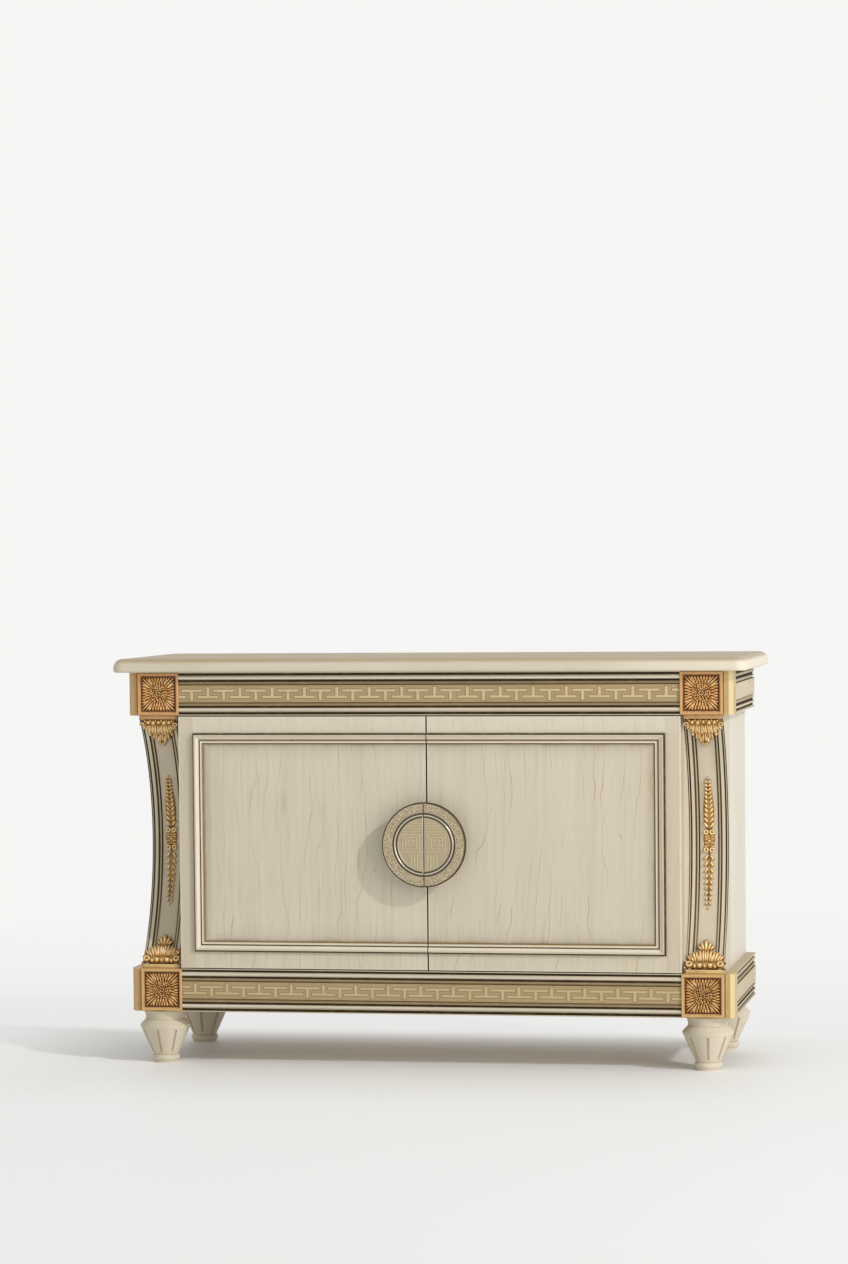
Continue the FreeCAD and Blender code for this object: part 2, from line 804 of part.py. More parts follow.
def make_door_leaf():
    """Right door: a veneered slab with a bored bush for each pivot, and its pull screws and catch plate."""
    bush_spans = {
        "top": ("door_top - bush_length", "door_top"),
        "bottom": ("door_bottom", "door_bottom + bush_length"),
    }
    sockets = []
    bushes = []
    for end, span in bush_spans.items():
        sockets.append(rod(f"bush_socket_{end}", "z", "bush_radius", "hinge_x", "hinge_y", span))
        bore = "pin_radius + pin_clearance"
        bushes.append(tube(f"pivot_bush_{end}", "z", "bush_radius", bore, "hinge_x", "hinge_y", span))
    screws = make_pull_screws()
    slab = box(
        "right_door_slab",
        ("meeting_edge", "opening_edge"),
        ("door_face", "door_back"),
        ("door_bottom", "door_top"),
    )
    node(cut("right_door_leaf", slab, sockets + screws))
    node(group("right_door_bushes", bushes))
    node(group("right_pull_screws", screws))
    node(
        box(
            "right_catch_plate",
            ("plate_edge", "plate_edge + plate_width"),
            ("door_back", "door_back + plate_thickness"),
            ("frieze_bottom - catch_height", "frieze_bottom - catch_height + plate_height"),
        )
    )
    return screws


def make_pull_screws():
    """Two screws through the right door into the posts of its pull."""
    screws = []
    for end, sign in (("low", "-"), ("high", "+")):
        height = f"door_middle {sign} pull_post_above"
        shank = rod(
            f"pull_screw_{end}_shank",
            "y",
            "pull_screw_radius",
            "pull_post_across",
            ("door_face - pull_screw_grip", "door_back"),
            height,
        )
        head = rod(
            f"pull_screw_{end}_head",
            "y",
            "pull_screw_head_radius",
            "pull_post_across",
            ("door_back", "door_back + pull_screw_head_height"),
            height,
        )
        screws.append(fuse(f"pull_screw_{end}", [shank, head]))
    return screws


def make_pull(screws):
    """Right half of the round pull on two posts, with a bright ring set in its face."""
    across = ("-pull_radius", "meeting_edge")
    whole_height = ("door_middle - pull_radius", "door_middle + pull_radius")
    disc = rod("pull_disc_round", "y", "pull_radius", "0", ("pull_front", "pull_back"), "door_middle")
    rounded_disc = doc.addObject("Part::Fillet", "pull_disc_rounded")
    rounded_disc.Base = disc
    doc.recompute()
    front = value("pull_front")
    edge_round = value("pull_edge_radius")
    rims = [
        index
        for index, edge in enumerate(disc.Shape.Edges, start=1)
        if edge.BoundBox.YMax < front + edge_round
    ]
    rounded_disc.Edges = [(index, edge_round, edge_round) for index in rims]
    channel = tube(
        "pull_channel",
        "y",
        "ring_radius + channel_width / 2",
        "ring_radius - channel_width / 2",
        "0",
        ("pull_front", "channel_bottom"),
        "door_middle",
    )
    other_half = box("pull_disc_other_half", across, ("pull_front", "door_face"), whole_height)
    half = cut("pull_disc_half", rounded_disc, [channel, other_half])
    posts = [
        rod(
            f"pull_post_{end}",
            "y",
            "pull_post_radius",
            "pull_post_across",
            ("pull_back", "door_face"),
            f"door_middle {sign} pull_post_above",
        )
        for end, sign in (("low", "-"), ("high", "+"))
    ]
    node(cut("right_pull_disc", fuse("pull_disc_on_posts", [half] + posts), screws))
    ring_span = ("channel_bottom - ring_height", "channel_bottom")
    ring = tube(
        "pull_ring_round",
        "y",
        "ring_radius + ring_width / 2",
        "ring_radius - ring_width / 2",
        "0",
        ring_span,
        "door_middle",
    )
    node(cut("right_pull_ring", ring, [box("pull_ring_other_half", across, ring_span, whole_height)]))


def moulding_steps():
    """Moulding profile: distance in from its outer edge, height off the door, and any arc that follows."""
    fillet_edge = "moulding_quirk + moulding_fillet"
    ovolo_edge = f"{fillet_edge} + moulding_ovolo"
    bead_start = f"{ovolo_edge} + moulding_quirk"
    bead_end = f"{bead_start} + moulding_bead"
    return [
        ("0", "0"),
        ("0", "moulding_floor"),
        ("moulding_quirk", "moulding_floor"),
        ("moulding_quirk", "moulding_rise"),
        (fillet_edge, "moulding_rise", "moulding_ovolo_radius"),
        (ovolo_edge, "moulding_floor"),
        (bead_start, "moulding_floor", "moulding_bead * moulding_bead_fullness"),
        (bead_end, "moulding_floor"),
        ("moulding_width", "0"),
    ]


def make_moulding():
    """Three mitred lengths round the outer, top and bottom edges of the right door."""
    steps = moulding_steps()
    inner_x = "moulding_x - moulding_width"
    inner_top = "moulding_top - moulding_width"
    bottom = "2 * door_middle - moulding_top"
    inner_bottom = f"{bottom} + moulding_width"
    upright_profile = [
        (f"moulding_x - ({step[0]})", f"door_face - ({step[1]})", *step[2:], *[1][: len(step) - 2])
        for step in steps
    ]
    upright_run = pad(
        "moulding_upright_run",
        "XY_Plane",
        upright_profile,
        f"moulding_top - ({bottom})",
        "z",
        bottom,
    )
    upright_mitre = pad(
        "moulding_upright_mitre",
        "XZ_Plane",
        [
            ("moulding_x", bottom),
            ("moulding_x", "moulding_top"),
            (inner_x, inner_top),
            (inner_x, inner_bottom),
        ],
        "moulding_rise",
        "y",
        "door_face",
    )
    top_profile = [
        (f"door_face - ({step[1]})", f"moulding_top - ({step[0]})", *step[2:], *[-1][: len(step) - 2])
        for step in steps
    ]
    top_run = pad(
        "moulding_top_run",
        "YZ_Plane",
        top_profile,
        "moulding_x - meeting_edge",
        "x",
        "meeting_edge",
    )
    top_mitre = pad(
        "moulding_top_mitre",
        "XZ_Plane",
        [
            ("meeting_edge", "moulding_top"),
            ("moulding_x", "moulding_top"),
            (inner_x, inner_top),
            ("meeting_edge", inner_top),
        ],
        "moulding_rise",
        "y",
        "door_face",
    )
    upright = common("moulding_upright", [upright_run, upright_mitre])
    top = common("moulding_top_length", [top_run, top_mitre])
    low = mirror("moulding_bottom_length", top, "z", "door_middle")
    node(group("right_door_moulding", [upright, top, low]))


def make_left_side():
    """Mirror images of the pieces that belong to the right side alone."""
    for piece in list(nodes):
        twin = piece.Name.replace("right", "left")
        if twin != piece.Name and twin not in [other.Name for other in nodes]:
            node(mirror(twin, piece, "x"))


def write_parts():
    """Check every piece, then write one file for each."""
    doc.recompute()
    for item in doc.Objects:
        if "Invalid" in item.State or "Error" in item.State:
            raise RuntimeError(f"{item.Name} did not build: {item.State}")
    for piece in nodes:
        if piece.Shape.isNull() or not piece.Shape.isValid() or not piece.Shape.Solids:
            raise RuntimeError(f"{piece.Label} has no valid solid")
    os.makedirs("parts", exist_ok=True)
    for piece in nodes:
        piece.Shape.exportStep(f"parts/{piece.Label}.step")
    whole = Part.makeCompound([piece.Shape for piece in nodes]).optimalBoundingBox(False, False)
    print(f"{len(nodes)} pieces, {whole.XLength:.1f} x {whole.YLength:.1f} x {whole.ZLength:.1f} mm")


make_top()
pivots = make_pivots()
rail_pins = {end: both_sides([pin]) for end, pin in pivots.items()}
make_front_rail("upper_frieze_rail", "upper_frieze_inlay", "frieze_bottom", "frieze_top", rail_pins["top"])
make_front_rail("base_rail", "base_inlay", "foot_height", "base_top", rail_pins["bottom"])
make_side_rail("right_upper_side_frieze", "frieze_bottom", "frieze_top")
make_side_rail("right_base_side_rail", "foot_height", "base_top")
front_bolt = make_feet()
make_corner_block("upper_right_corner_block", "frieze_bottom", "frieze_height", [])
make_corner_block("lower_right_corner_block", "foot_height", "base_height", [front_bolt])
make_plaque("upper_right_plaque", "frieze_bottom", "frieze_top")
make_plaque("lower_right_plaque", "foot_height", "base_top")
make_pilaster()
make_carvings()
make_carcass()
node(group("door_pivot_pins", rail_pins["top"] + rail_pins["bottom"]))
washer = tube(
    "pivot_washer",
    "z",
    "washer_radius",
    "pin_radius",
    "hinge_x",
    "hinge_y",
    ("base_top", "base_top + washer_thickness"),
)
node(group("pivot_washers", both_sides([washer])))
node(
    box(
        "magnetic_catch",
        ("-catch_width / 2", "catch_width / 2"),
        ("catch_front", "catch_front + catch_depth"),
        ("frieze_bottom - catch_height", "frieze_bottom"),
    )
)
make_pull(make_door_leaf())
make_moulding()
make_left_side()
write_parts()
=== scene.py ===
"""Looks of a two-door chiffonier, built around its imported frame.

Every piece is in metres in the frame of the part: the front faces -Y, +X is to the right and +Z is up.
The tables of places and sizes are in millimetres.
"""

from __future__ import annotations

import json
import logging
import math
from dataclasses import dataclass
from enum import Enum
from typing import Callable, Iterable, Sequence, Union

import bmesh
import bpy
from mathutils import Matrix, Vector

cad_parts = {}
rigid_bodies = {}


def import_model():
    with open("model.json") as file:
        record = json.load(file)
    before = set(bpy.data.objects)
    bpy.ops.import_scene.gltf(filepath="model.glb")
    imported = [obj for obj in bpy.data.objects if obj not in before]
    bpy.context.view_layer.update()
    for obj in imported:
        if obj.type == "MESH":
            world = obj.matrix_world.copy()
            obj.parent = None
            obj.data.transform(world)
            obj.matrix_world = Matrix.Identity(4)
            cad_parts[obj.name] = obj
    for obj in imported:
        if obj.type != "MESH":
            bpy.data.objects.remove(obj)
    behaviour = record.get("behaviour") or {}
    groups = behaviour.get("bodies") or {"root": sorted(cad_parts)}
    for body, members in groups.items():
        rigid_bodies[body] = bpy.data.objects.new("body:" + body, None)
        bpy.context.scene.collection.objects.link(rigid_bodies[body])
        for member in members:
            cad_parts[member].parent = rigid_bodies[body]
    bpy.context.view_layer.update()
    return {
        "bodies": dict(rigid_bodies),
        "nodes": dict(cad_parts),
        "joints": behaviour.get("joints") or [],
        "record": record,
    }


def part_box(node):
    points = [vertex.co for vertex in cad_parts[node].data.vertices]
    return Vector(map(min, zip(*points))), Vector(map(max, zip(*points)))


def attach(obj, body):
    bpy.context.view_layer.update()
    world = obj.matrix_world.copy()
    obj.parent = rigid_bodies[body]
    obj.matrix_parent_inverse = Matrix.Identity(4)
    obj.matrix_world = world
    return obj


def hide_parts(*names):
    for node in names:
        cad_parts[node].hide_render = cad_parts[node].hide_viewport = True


LOG = logging.getLogger("chiffonier")

MM = 0.001
CABINET = "cabinet"
FULL_TURN = 2.0 * math.pi
QUARTER_TURN = math.pi / 2.0
MERGE = 1.0e-6
CREST = "crest"
BOTH = (-1.0, 1.0)
EVEN = (1.0, 1.0, 1.0)
WHITE = (1.0, 1.0, 1.0, 1.0)
ACROSS = Vector((1.0, 0.0, 0.0))
DEPTH = Vector((0.0, 1.0, 0.0))

Colour = tuple[float, float, float, float]
Number = Union[float, "Field"]
Stops = Sequence[tuple[float, float]]
Stretch = Sequence[float]
Spot = Sequence[float]
Socket = bpy.types.NodeSocket
Material = bpy.types.Material


class Named(Enum):
    """A choice whose word goes into the names of pieces."""

    @property
    def word(self) -> str:
        """Word used in the names of pieces."""
        return self.name.lower()


class Side(Named):
    """Left or right half of the cabinet."""

    LEFT = -1
    RIGHT = 1

    @property
    def door(self) -> str:
        """Body of the door on this side."""
        return f"{self.word}_door"


class Level(Named):
    """Lower or upper end of the pilasters."""

    LOWER = -1
    UPPER = 1


# Glaze in the hollows: pairs of a distance from an edge in millimetres and how much lies there.
# The distance is a height on the feet and a radius on the pull.
FRONT_RAIL_GLAZE = (
    (0.0, 0.4), (0.8, 0.15), (2.2, 0.12), (2.8, 1.0), (7.6, 1.0), (8.6, 0.1), (10.0, 0.0), (16.5, 0.0),
    (17.6, 0.15), (18.2, 1.0), (22.4, 1.0), (23.0, 0.4), (28.4, 0.44), (29.0, 0.85), (30.8, 0.85),
    (31.4, 0.2), (34.0, 0.0), (40.0, 0.0),
)
SIDE_RAIL_GLAZE = (
    (0.0, 0.0), (4.2, 0.02), (4.8, 1.0), (9.4, 1.0), (10.2, 0.1), (11.0, 0.0), (15.4, 0.0), (16.4, 0.7),
    (17.2, 1.0), (22.8, 1.0), (23.6, 0.1), (29.4, 0.03), (30.2, 0.7), (31.8, 0.7), (32.6, 0.02), (40.0, 0.0),
)
MOULDING_GLAZE = (
    (0.0, 0.95), (2.6, 0.92), (3.4, 0.1), (6.0, 0.06), (7.0, 0.02), (10.5, 0.0), (14.0, 0.06), (14.4, 0.92),
    (16.7, 0.9), (17.3, 0.05), (22.0, 0.03), (22.6, 0.7), (25.0, 0.55), (26.0, 0.45),
)
PILASTER_GLAZE = (
    (0.0, 0.05), (0.1, 0.05), (0.2, 1.0), (2.0, 1.0), (2.4, 0.04), (3.7, 0.03), (4.1, 1.0), (7.2, 1.0),
    (7.7, 0.02), (14.0, 0.0), (15.0, 0.6), (22.4, 0.6), (23.0, 1.0), (25.0, 1.0), (25.6, 0.12), (32.0, 0.05),
    (46.0, 0.03),
)
COVE_GLAZE = ((14.0, 0.3), (15.2, 0.95), (17.6, 0.9), (19.4, 0.2), (21.4, 0.1), (22.0, 0.8), (23.0, 1.0))
# On the doors the glaze also runs a short way outside the mouldings, as painted shadow along their outer
# edge.
DOOR_GLAZE = (
    (-6.0, 0.0), (-3.0, 0.06), (-0.8, 0.7), (0.0, 0.95), (25.0, 0.9), (26.4, 0.6), (31.0, 0.26), (44.0, 0.08),
    (70.0, 0.0),
)
FOOT_GLAZE = (
    (0.0, 0.2), (3.5, 0.03), (5.0, 0.2), (7.0, 0.0), (17.0, 0.05), (19.0, 0.25), (22.0, 0.03), (84.0, 0.0),
    (86.0, 0.06), (90.5, 0.05), (101.0, 0.03), (104.0, 0.2), (107.0, 0.05), (122.0, 0.03), (126.0, 0.4),
)
PULL_GLAZE = (
    (58.0, 0.0), (62.4, 0.05), (63.2, 0.9), (66.4, 0.9), (70.6, 0.9), (74.2, 0.9), (74.8, 0.15), (76.6, 0.1),
    (77.4, 0.4), (79.0, 0.05), (93.6, 0.05), (94.6, 0.3), (95.6, 0.1), (96.0, 0.95), (99.2, 1.0),
)

# Beads painted pale: pairs of a distance from the edge in millimetres and how pale they are painted.
# On the rail's upper bead this is painted light where the top's overhang shades it.
RAIL_BEAD = ((9.0, 0.0), (10.4, 1.0), (16.0, 1.0), (17.2, 0.0))
# On the moulding beads it is rubbing that also paints in their highlights.
MOULDING_BEADS = (
    (6.5, 0.0), (8.0, 0.5), (12.6, 0.5), (14.0, 0.0), (17.6, 0.0), (18.6, 0.6), (21.0, 0.6), (22.2, 0.0),
)

# Outline of a foot: pairs of a height in millimetres and the radius there in tenths of a metre.
FOOT_CONE = ((0.0, 0.295), (19.0, 0.29), (86.0, 0.595), (90.0, 0.595), (104.0, 0.465), (126.0, 0.54))
FOOT_UNIT = 0.1


def srgb(red: float, green: float, blue: float) -> Colour:
    """Turn a colour of 0 to 255 into a linear one.

    Args:
        red: Red share.
        green: Green share.
        blue: Blue share.

    Returns:
        The linear colour with full alpha.
    """
    shares = [channel / 255.0 for channel in (red, green, blue)]
    linear = [s / 12.92 if s <= 0.04045 else ((s + 0.055) / 1.055) ** 2.4 for s in shares]
    return (linear[0], linear[1], linear[2], 1.0)


def upright(share: float) -> Stretch:
    """Stretch of a figure that runs up, by how dense it is along its run."""
    return (1.0, 1.0, share)


def level_run(share: float) -> Stretch:
    """Stretch of a figure that runs from side to side, by how dense it is along its run."""
    return (share, 1.0, 1.0)


def mirrored(across: float) -> Sequence[float]:
    """Both signs for what lies off the middle line, and one for what lies on it."""
    return BOTH if across else (1.0,)


def fade(ends: Spot, share: float) -> float:
    """Value on the way from the first end to the last."""
    return ends[0] + (ends[1] - ends[0]) * share


class Field:
    """A number that changes over a surface, held as a shader socket."""

    def __init__(self, nodes: Nodes, socket: Socket) -> None:
        """Wrap a socket of a node tree."""
        self.nodes = nodes
        self.socket = socket

    def _math(self, operation: str, first: Number, second: Number = 0.0) -> Field:
        """Add a Math node."""
        return self.nodes.field("ShaderNodeMath", {"operation": operation}, {0: first, 1: second})

    def __add__(self, other: Number) -> Field:
        """Sum."""
        return self._math("ADD", self, other)

    def __radd__(self, other: Number) -> Field:
        """Sum with a number in front."""
        return self._math("ADD", other, self)

    def __sub__(self, other: Number) -> Field:
        """Difference."""
        return self._math("SUBTRACT", self, other)

    def __rsub__(self, other: Number) -> Field:
        """Difference from a number."""
        return self._math("SUBTRACT", other, self)

    def __mul__(self, other: Number) -> Field:
        """Product."""
        return self._math("MULTIPLY", self, other)

    def __rmul__(self, other: Number) -> Field:
        """Product with a number in front."""
        return self._math("MULTIPLY", other, self)

    def size(self) -> Field:
        """Value without its sign."""
        return self._math("ABSOLUTE", self)

    def wave(self, pitch: float) -> Field:
        """Sine of the field, one turn for each pitch."""
        return self._math("SINE", self * (FULL_TURN / pitch))

    def away(self, other: Field) -> Field:
        """Distance with this field and another as its two legs."""
        return self._math("SQRT", self * self + other * other)

    def least(self, other: Number) -> Field:
        """Smaller of two values."""
        return self._math("MINIMUM", self, other)

    def most(self, other: Number) -> Field:
        """Larger of two values."""
        return self._math("MAXIMUM", self, other)

    def rise(self, start: float, stop: float) -> Field:
        """Climb smoothly from 0 at the start to 1 at the stop, which may lie below the start."""
        smooth = {"interpolation_type": "SMOOTHSTEP"}
        return self.nodes.field("ShaderNodeMapRange", smooth, {0: self, 1: start, 2: stop, 3: 0.0, 4: 1.0})

    def stepped(self, stops: Stops) -> Field:
        """Read a profile of values by places in millimetres.

        Args:
            stops: Pairs of a place in millimetres and the value there, in order.

        Returns:
            The value at each place, straight between the stops.
        """
        first, last = stops[0][0], stops[-1][0]
        share = (self * (1.0 / MM) - first) * (1.0 / (last - first))
        ramp = [((place - first) / (last - first), value) for place, value in stops]
        return self.nodes.field("ShaderNodeValToRGB", {"stops": ramp}, {0: share})


class Nodes:
    """A node tree and the one way to add to it."""

    def __init__(self, tree: bpy.types.NodeTree) -> None:
        """Work in a tree."""
        self.tree = tree

    def node(self, kind: str, settings: dict | None = None, inputs: dict | None = None) -> bpy.types.Node:
        """Add a node, with its settings first and then its sockets.

        Args:
            kind: Type of the node.
            settings: Properties of the node; stops are those of a ramp.
            inputs: Values or links of its sockets, by name or number.

        Returns:
            The node.
        """
        made = self.tree.nodes.new(kind)
        for name, setting in (settings or {}).items():
            if name == "stops":
                self._set_stops(made.color_ramp, setting)
            else:
                setattr(made, name, setting)
        for name, value in (inputs or {}).items():
            self.feed(made.inputs[name], value)
        return made

    def field(self, kind: str, settings: dict | None = None, inputs: dict | None = None) -> Field:
        """Add a node and read its first output as a field."""
        return Field(self, self.node(kind, settings, inputs).outputs[0])

    def feed(self, socket: Socket, value: object) -> None:
        """Link a socket to a field or another socket, or set its number.

        Args:
            socket: Socket to feed.
            value: What feeds it.
        """
        if isinstance(value, Field):
            value = value.socket
        if isinstance(value, Socket):
            self.tree.links.new(value, socket)
        else:
            socket.default_value = value

    @staticmethod
    def _set_stops(ramp: bpy.types.ColorRamp, stops: Stops) -> None:
        """Give a ramp its grey stops.

        Args:
            ramp: Ramp of a node.
            stops: Pairs of a place from 0 to 1 and the value there.
        """
        while len(ramp.elements) < len(stops):
            ramp.elements.new(1.0)
        for element, (place, value) in zip(ramp.elements, stops):
            element.position = place
            element.color = (value, value, value, 1.0)

    def seen(self) -> Field:
        """Tell what the camera, metal and glass see from what only lights the part.

        Returns:
            1 for what is seen and 0 for the rest.
        """
        paths = self.node("ShaderNodeLightPath").outputs
        camera, glossy, through = (
            Field(self, paths[f"Is {ray} Ray"]) for ray in ("Camera", "Glossy", "Transmission")
        )
        return camera.most(glossy).most(through)

    def show(self, first: bpy.types.Node, second: bpy.types.Node, share: Field) -> None:
        """Lead two shaders to the output."""
        mix = self.node("ShaderNodeMixShader", inputs={0: share, 1: first.outputs[0], 2: second.outputs[0]})
        self.feed(self.tree.get_output_node("ALL").inputs["Surface"], mix.outputs[0])


class Shader(Nodes):
    """One material and the nodes that make it."""

    def __init__(self, name: str) -> None:
        """Start a material with a plain surface."""
        self.material = bpy.data.materials.new(name)
        self.material.use_nodes = True
        super().__init__(self.material.node_tree)
        self.surface = self.tree.nodes["Principled BSDF"]
        self.place = self.node("ShaderNodeTexCoord").outputs["Object"]

    def axes(self) -> tuple[Field, Field, Field]:
        """Place on the part along X, Y and Z."""
        parts = self.node("ShaderNodeSeparateXYZ", inputs={0: self.place})
        return tuple(Field(self, output) for output in parts.outputs)

    def noise(self, scale: float, stretch: Stretch = EVEN, detail: float = 3.0) -> Field:
        """Uneven value around a half.

        Args:
            scale: Number of blotches in a metre.
            stretch: How much denser the blotches are along each axis.
            detail: Number of finer layers.

        Returns:
            The value as a field.
        """
        place = self.node("ShaderNodeMapping", inputs={"Vector": self.place, "Scale": stretch}).outputs[0]
        inputs = {"Vector": place, "Scale": scale, "Detail": detail, "Roughness": 0.55}
        return self.field("ShaderNodeTexNoise", {"noise_dimensions": "3D"}, inputs)

    def gloss(self, scale: float, middle: float, spread: float, stretch: Stretch = EVEN) -> Field:
        """Roughness that varies round a middle value."""
        return self.noise(scale, stretch) * spread + (middle - spread / 2.0)

    def attribute(self, name: str) -> Field:
        """Value that the points of a mesh carry."""
        made = self.node("ShaderNodeAttribute", {"attribute_name": name})
        return Field(self, made.outputs["Fac"])

    def blend(self, under: object, over: object, share: Number) -> Socket:
        """Lay one colour over another."""
        made = self.node("ShaderNodeMix", {"data_type": "RGBA"}, {0: share, 6: under, 7: over})
        return made.outputs[2]

    def coat(
        self, colour: Socket, roughness: Field, relief: Field, strength: float, depth: float, **others: object
    ) -> Material:
        """Give the surface its colour, its gloss and a fine relief.

        Args:
            colour: Colour of the surface.
            roughness: Its roughness.
            relief: Height of its fine relief.
            strength: How much of the relief shows.
            depth: Depth of the relief.
            others: Other sockets of the surface, with underscores for the spaces in their names.

        Returns:
            The finished material.
        """
        bump = self.node("ShaderNodeBump", inputs={"Strength": strength, "Distance": depth, "Height": relief})
        values = {"Base_Color": colour, "Roughness": roughness, "Normal": bump.outputs[0], **others}
        for name, value in values.items():
            self.feed(self.surface.inputs[name.replace("_", " ")], value)
        return self.material


@dataclass(frozen=True)
class DoorFrame:
    """Outline of the doors and of the mouldings on them."""

    edge: float
    split: float
    front: float
    middle: float
    half_height: float
    moulding_x: float
    moulding_half: float

    @classmethod
    def read(cls) -> DoorFrame:
        """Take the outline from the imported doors.

        Returns:
            The outline.
        """
        low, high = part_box("right_door_leaf")
        moulding_low, moulding_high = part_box("right_door_moulding")
        return cls(
            edge=high.x,
            split=low.x,
            front=low.y,
            middle=(low.z + high.z) / 2.0,
            half_height=(high.z - low.z) / 2.0,
            moulding_x=moulding_high.x,
            moulding_half=(moulding_high.z - moulding_low.z) / 2.0,
        )

    def inward(self, shader: Shader) -> Field:
        """Distance inside the outer edge of the mouldings.

        Args:
            shader: Material to add to.

        Returns:
            The distance as a field.
        """
        across, _, height = shader.axes()
        from_side = self.moulding_x - across.size()
        from_end = self.moulding_half - (height - self.middle).size()
        return from_side.least(from_end)

    def near_front(self, shader: Shader, depth: float) -> Field:
        """Share of a finish that lies on the front of a door and ends at a depth behind it."""
        return shader.axes()[1].rise(self.front + depth, self.front + depth / 2.0)

    def from_seam(self, shader: Shader) -> Field:
        """Distance from the upper, lower and meeting edges of a door."""
        across, _, height = shader.axes()
        return (across.size() - self.split).least(self.half_height - (height - self.middle).size())

    def from_edge(self, shader: Shader) -> Field:
        """Distance inside the edge of a door."""
        return self.from_seam(shader).least(self.edge - shader.axes()[0].size())


@dataclass(frozen=True)
class Column:
    """Sizes of the right pilaster and of its hollow face."""

    inner: float
    width: float
    front: float
    middle: float
    half_height: float
    land: float = 8.0 * MM
    sag: float = 108.0 * MM
    recess: float = 4.0 * MM

    @classmethod
    def read(cls) -> Column:
        """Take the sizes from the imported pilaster.

        Returns:
            The sizes.
        """
        low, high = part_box("right_pilaster")
        return cls(
            inner=low.x,
            width=high.x - low.x,
            front=low.y,
            middle=(low.z + high.z) / 2.0,
            half_height=(high.z - low.z) / 2.0,
        )

    @property
    def centre(self) -> float:
        """Distance of the pilaster's middle line from the middle of the cabinet."""
        return self.inner + self.width / 2.0

    @property
    def curve_half(self) -> float:
        """Half the height of the hollow face."""
        return self.half_height - self.land

    @property
    def radius(self) -> float:
        """Radius of the hollow face."""
        return (self.curve_half**2 + self.sag**2) / (2.0 * self.sag)

    @property
    def field_radius(self) -> float:
        """Radius of the sunk field in the hollow face."""
        return self.radius + self.recess

    @property
    def axis_y(self) -> float:
        """Place of the hollow's axis along Y."""
        return self.front + self.sag - self.radius

    @property
    def arc_half(self) -> float:
        """Length along the hollow face from its middle to its end."""
        return self.radius * math.asin(self.curve_half / self.radius)

    def from_edge(self, shader: Shader) -> Field:
        """Distance inside the edges of the pilaster's front."""
        inside = shader.axes()[0].size() - self.inner
        return inside.least(self.width - inside)

    def seat(self, side: Side, ground: float) -> Callable[[Vector], Vector]:
        """Lay flat carving on the hollow face.

        Args:
            side: Side of the cabinet.
            ground: Radius of the face that the carving lies on.

        Returns:
            A function from (across, along, height) to a place on the part.
        """

        def lay(point: Vector) -> Vector:
            """Place on the part of one point of the carving."""
            angle = point.y / ground
            reach = ground - point.z
            return Vector(
                (
                    side.value * (self.centre + point.x),
                    self.axis_y + reach * math.cos(angle),
                    self.middle + reach * math.sin(angle),
                )
            )

        return lay


@dataclass(frozen=True)
class Board:
    """Plain sealed board of the inside and the back."""

    pale: Colour = srgb(214, 194, 158)
    dark: Colour = srgb(186, 160, 118)
    roughness: float = 0.54

    def colour(self, shader: Shader, grain: Stretch) -> Socket:
        """Colour of the wood.

        Args:
            shader: Material to add to.
            grain: How much denser the grain is along each axis.

        Returns:
            The colour socket.
        """
        figure = shader.noise(7.0, grain, 4.0).rise(0.32, 0.7)
        fibre = shader.noise(120.0, grain).rise(0.3, 0.75)
        return shader.blend(self.pale, self.dark, figure * 0.55 + fibre * 0.3)

    def material(self, name: str, grain: Stretch) -> Material:
        """Finish of a board.

        Args:
            name: Name of the material.
            grain: How much denser the grain is along each axis.

        Returns:
            The material.
        """
        shader = Shader(name)
        gloss = shader.gloss(90.0, self.roughness, 0.2, grain)
        return shader.coat(self.colour(shader, grain), gloss, shader.noise(240.0, grain), 0.1, 0.3 * MM)


